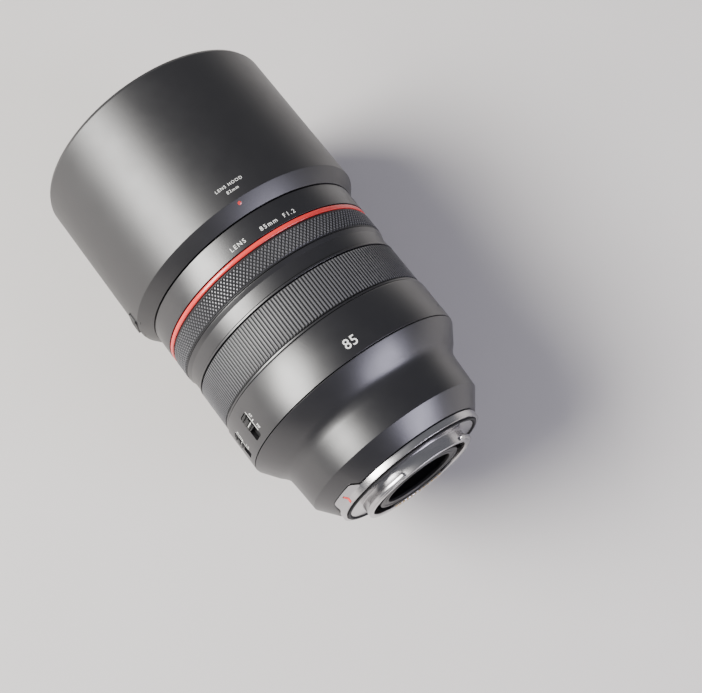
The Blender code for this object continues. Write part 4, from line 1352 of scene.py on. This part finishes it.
@dataclass
class FrontOptics(SubAssembly):
    """The front barrel, the cells, the filter ring and all the glass."""

    groups: tuple[LensGroup, ...] = (
        LensGroup(1, (102.7, 105.2), (105.7, 111.7)), LensGroup(2, (93.7, 96.7), (95.7, 102.7)),
        LensGroup(3, (70.1, 72.6), (69.3, 75.6)), LensGroup(4, (65.5, 69.0), (66.7, 68.5)),
        LensGroup(5, (48.0, 51.0), (49.0, 53.5)), LensGroup(6, (38.5, 44.0), (40.5, 46.0)),
        LensGroup(7, (29.5, 34.5), (27.0, 32.5)), LensGroup(8, (19.5, 24.0), (21.0, 26.0)),
        LensGroup(9, (8.5, 11.5), (7.5, 13.0)),
    )
    moving: tuple[int, ...] = (3, 4)
    hood_lugs: tuple[Pair, ...] = ((5.0, 55.0), (125.0, 175.0), (245.0, 295.0))

    def build(self) -> None:
        """Build the front barrel, the cells and the glass."""
        self.front_barrel()
        self.front_cell()
        self.filter_ring()
        self.glass()

    def front_barrel(self) -> None:
        """Build the band that carries the optical data, and the hood's bayonet seat."""
        room = Envelope.of("front_barrel")
        wide, seat, neck = room.radius, 48.2, 44.3
        lugs = (115.4, 116.8)
        ring = turned("front_band", [
            (room.rear, 42.4), (room.rear, 49.7), (101.1, 49.7), (101.1, wide, 0.15),
            (111.9, wide, 0.2), (112.2, seat), *((lug, seat) for lug in lugs),
            (room.front, seat, 0.2),
            (room.front, neck), (100.7, neck), (100.7, 42.4),
        ])
        raise_lugs(ring, lugs, self.hood_lugs, seat, 1.25)
        soften(ring, 0.1)
        self.fit(shade(ring), Body.BARREL, self.finishes.barrel_enamel, "front_barrel")
        for name, words, turn in (("aperture_mark", "F1.2", -16.3),
                                  ("front_focal_length_mark", "85mm", -5.2),
                                  ("lens_word_mark", "LENS", 11.4)):
            mark = lettering(name, words, 2.0, 104.0, turn, lambda _: wide, Reading.FRONT_UP,
                             spacing=1.3)
            self.fit(mark, Body.BARREL, self.finishes.white_ink)

    def front_cell(self) -> None:
        """Build the cell that holds the front glass, with light-trap grooves before it."""
        room = Envelope.of("front_cell")
        bore, outer = 38.5, 40.0
        grooves: list[Corner] = []
        for i in range(4):
            station = room.front - 0.3 - 0.55 * i
            grooves += [(station, bore), (station - 0.3, bore + 0.35)]
        ring = turned("front_glass_cell", [
            (room.rear, outer, 0.2), (101.0, outer), (101.0, room.radius, 0.2),
            (102.6, room.radius, 0.2), (102.6, outer), (room.front, outer, 0.2),
            (room.front, bore), *grooves, (room.rear, bore),
        ])
        self.fit(shade(ring), Body.BARREL, self.finishes.black_cell, "front_cell")

    def filter_ring(self) -> None:
        """Build the retaining ring with its filter thread and its stepped front face."""
        room = Envelope.of("filter_ring")
        bore, lip, pitch = 41.0, 38.3, 0.75
        thread: list[Corner] = []
        for i in range(8):
            station = room.front - 0.5 - pitch * i
            thread += [(station, bore + 0.05), (station - pitch / 2, bore + 0.5)]
        ring = turned("filter_thread_ring", [
            (room.rear, room.radius), (room.front, room.radius, 0.2), (room.front, bore + 0.3),
            *thread, (109.6, bore), (109.2, bore - 0.3), (109.2, lip), (room.rear, lip),
        ])
        soften(ring, 0.05, 50.0)
        self.fit(shade(ring), Body.BARREL, self.finishes.black_cell, "filter_ring")

    def glass(self) -> None:
        """Build each group of glass."""
        for group in self.groups:
            node = f"lens_group_{group.number}"
            body = Body.FOCUS_GROUP if group.number in self.moving else Body.BARREL
            piece = turned(f"glass_group_{group.number}",
                           group.section(Envelope.of(node).radius), columns=128)
            self.fit(shade(piece), body, self.finishes.optical_glass, node)


@dataclass
class Hood(SubAssembly):
    """The deep round hood with its lining, its lock button and its index dot."""

    bore: float = 54.4
    collar_bore: float = 49.9
    collar_radius: float = 51.8
    bevel: float = 5.7
    bevel_rise: float = 4.6
    dot_station: float = 116.6
    dot_along_bevel: float = 4.1
    button_turn: float = 90.0

    def build(self) -> None:
        """Build every piece of the hood."""
        self.shell()
        self.lining()
        self.button()
        self.index_dot()
        self.marks()

    @staticmethod
    def button_room() -> tuple[float, float, float, float, float]:
        """Give the button's station, length, width, top radius and height, in mm."""
        low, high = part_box("hood_button")
        size = (high - low) / MM
        return -(low.y + high.y) / 2 / MM, size.y, size.z, high.x / MM, size.x

    def shell(self) -> None:
        """Build the hood's shell, with a well for the button."""
        room = Envelope.of("hood")
        rear, front, wide = room.rear, room.front, room.radius
        shell = turned("hood_shell", [
            (rear, self.collar_bore, 0.2), (rear, self.collar_radius, 0.3),
            (rear + self.bevel, wide, 0.5),
            (front - 1.5, wide, 0.8), (front, wide - 0.7, 0.3), (front, self.bore + 0.3, 0.2),
            (front - 0.8, self.bore, 0.3), (121.3, self.bore, 0.4), (117.9, self.collar_bore),
        ], columns=360)
        station, axial, tangential, _, _ = self.button_room()
        boss = block("button_boss", (axial + 3.6, tangential + 3.6, 5.2), station + 0.4, 52.9,
                     self.button_turn)
        soften(boss, 0.3)
        carve(shell, boss, "UNION")
        carve(shell, slot_cutter((axial + 0.7, tangential + 0.7, 5.0), station, 54.05,
                                 self.button_turn, 1.6))
        self.fit(shade(shell), Body.HOOD, self.finishes.hood_enamel, "hood")

    def lining(self) -> None:
        """Build the flocked sleeve inside the hood."""
        room = Envelope.of("hood_lining")
        inner = room.radius - 0.5
        sleeve = turned("flocked_hood_lining", [
            (room.rear, inner, 0.15), (room.rear, room.radius), (room.front, room.radius),
            (room.front, inner, 0.15),
        ])
        self.fit(shade(sleeve), Body.HOOD, self.finishes.nylon_flock, "hood_lining")

    def button(self) -> None:
        """Build the lock button with rounded ends and three finger grooves."""
        station, axial, tangential, top, height = self.button_room()
        button = slot_cutter((axial, tangential, height), station, top - height / 2,
                             self.button_turn, 1.4)
        button.name = button.data.name = "hood_lock_button"
        soften(button, 0.3, 50.0)
        for offset in (-1.3, 0.0, 1.3):
            groove = block("groove", (0.45, tangential - 3.4, 0.5), station + offset, top,
                           self.button_turn)
            carve(button, groove)
        self.fit(shade(button), Body.HOOD_BUTTON, self.finishes.moulded_abs, "hood_button")

    def index_dot(self) -> None:
        """Build the red dot on the hood's rear bevel, flush with the paint."""
        normal = Vector((0.0, self.bevel_rise, self.bevel)).normalized()
        rise = self.bevel_rise * self.dot_along_bevel / self.bevel
        middle = spot(self.dot_station, self.collar_radius + rise, 0.0)
        dot = pillar("red_index_dot", 0.8, middle - normal * 0.4 * MM, middle + normal * 0.06 * MM)
        soften(dot, 0.05)
        self.fit(shade(dot), Body.HOOD, self.finishes.red_gloss, "hood_index_dot")

    def marks(self) -> None:
        """Print the two small lines of type in front of the dot."""
        wide = Envelope.of("hood").radius
        for name, words, station in (("hood_use_mark", "LENS HOOD", 125.4),
                                     ("hood_thread_mark", "82mm", 122.5)):
            mark = lettering(name, words, 1.4, station, -0.8, lambda _: wide, Reading.FRONT_UP,
                             spacing=1.25)
            self.fit(mark, Body.HOOD, self.finishes.white_ink)


@dataclass
class Interior(SubAssembly):
    """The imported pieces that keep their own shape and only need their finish."""

    dark: tuple[str, ...] = ("rear_cell", "focus_cell", "iris_housing", "iris_cover")

    def build(self) -> None:
        """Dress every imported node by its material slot."""
        slots = {part["node"]: part["material_slot"] for part in frame["record"]["subparts"]}
        for node, obj in frame["nodes"].items():
            finish = (self.finishes.black_cell if node in self.dark
                      else self.finishes.of_slot(slots[node]))
            finish.dress(obj)
            LOG.info("%s: packed shape, %s", node, finish.name)


@dataclass
class Studio:
    """The pale floor, the soft lights and the camera."""

    eye: Triple = (0.0989, 0.0858, 0.4978)
    right: Triple = (-0.80283, 0.59618, 0.00596)
    up: Triple = (-0.55853, -0.75555, 0.34235)
    focal_length: float = 63.9
    sensor: float = 36.0
    air: str = "#85878c"
    key_way: Triple = (0.7, -0.34, 0.62)

    def build(self) -> None:
        """Build the whole studio."""
        self.floor()
        self.lights()
        self.camera()

    def floor(self) -> None:
        """Lay the floor under the lens."""
        low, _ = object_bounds()
        deselect()
        bpy.ops.mesh.primitive_plane_add(size=40.0, location=(0.0, 0.0, low.z - 0.0002))
        floor = named("studio_floor")
        # Painted board: pale, dull and faintly uneven.
        Finish("pale_floor_paint", "", "#ccc9c7", "#c6c3c1", 0.8, cloud=90.0).dress(floor)
        floor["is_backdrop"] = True

    def lights(self) -> None:
        """Hang a softbox to each side and a dim sky over both, and light the far floor evenly."""
        world = bpy.data.worlds.new("studio_air")
        bpy.context.scene.world = world
        world.use_nodes = True
        world.node_tree.nodes["Background"].inputs["Color"].default_value = linear(self.air)
        aim = Vector((0.0, -0.07, 0.0))
        for name, kind, way, size, power, colour in (
            ("key_softbox", "AREA", self.key_way, (0.95, 0.45), 23.0, "#fffdf9"),
            ("far_key", "SUN", self.key_way, (0.6, 0.6), 4.6, "#fffdf9"),
            ("rim_softbox", "AREA", (-0.42, 0.82, 0.34), (0.6, 0.4), 13.0, "#dcd9ee"),
        ):
            outward = Vector(way).normalized()
            deselect()
            bpy.ops.object.light_add(
                type=kind, location=aim + outward * 1.15,
                rotation=outward.to_track_quat("Z", "Y").to_euler())
            lamp = named(name)
            if kind == "SUN":
                lamp.data.angle = size[0]
            else:
                lamp.data.shape = "RECTANGLE"
                lamp.data.size, lamp.data.size_y = size
            lamp.data.energy = power
            lamp.data.color = linear(colour)[:3]

    def camera(self) -> None:
        """Set the camera over the mount's left shoulder."""
        right, up = Vector(self.right), Vector(self.up)
        back = right.cross(up)
        deselect()
        bpy.ops.object.camera_add()
        camera = named("studio_camera")
        turn = Matrix((right, up, back)).transposed().to_4x4()
        camera.matrix_world = Matrix.Translation(Vector(self.eye)) @ turn
        camera.data.lens = self.focal_length
        camera.data.sensor_width = self.sensor
        camera.data.clip_start = 0.01
        bpy.context.scene.camera = camera


def corners() -> list[list[float]]:
    """Give the whole object's lowest and highest corners as plain lists."""
    return [list(corner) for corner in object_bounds()]


def main() -> None:
    """Build the lens and its studio."""
    logging.basicConfig(level=logging.INFO, format="%(message)s")
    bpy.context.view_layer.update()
    finishes = Finishes()
    mount = Mount(finishes)
    for group in (
        Interior(finishes), mount, RearEnd(finishes), RearShell(finishes, mount),
        SwitchBarrel(finishes), Rings(finishes), FrontOptics(finishes), Hood(finishes),
    ):
        LOG.info("-- %s", type(group).__name__)
        group.build()
    Studio().build()


if __name__ == "__main__":
    main()
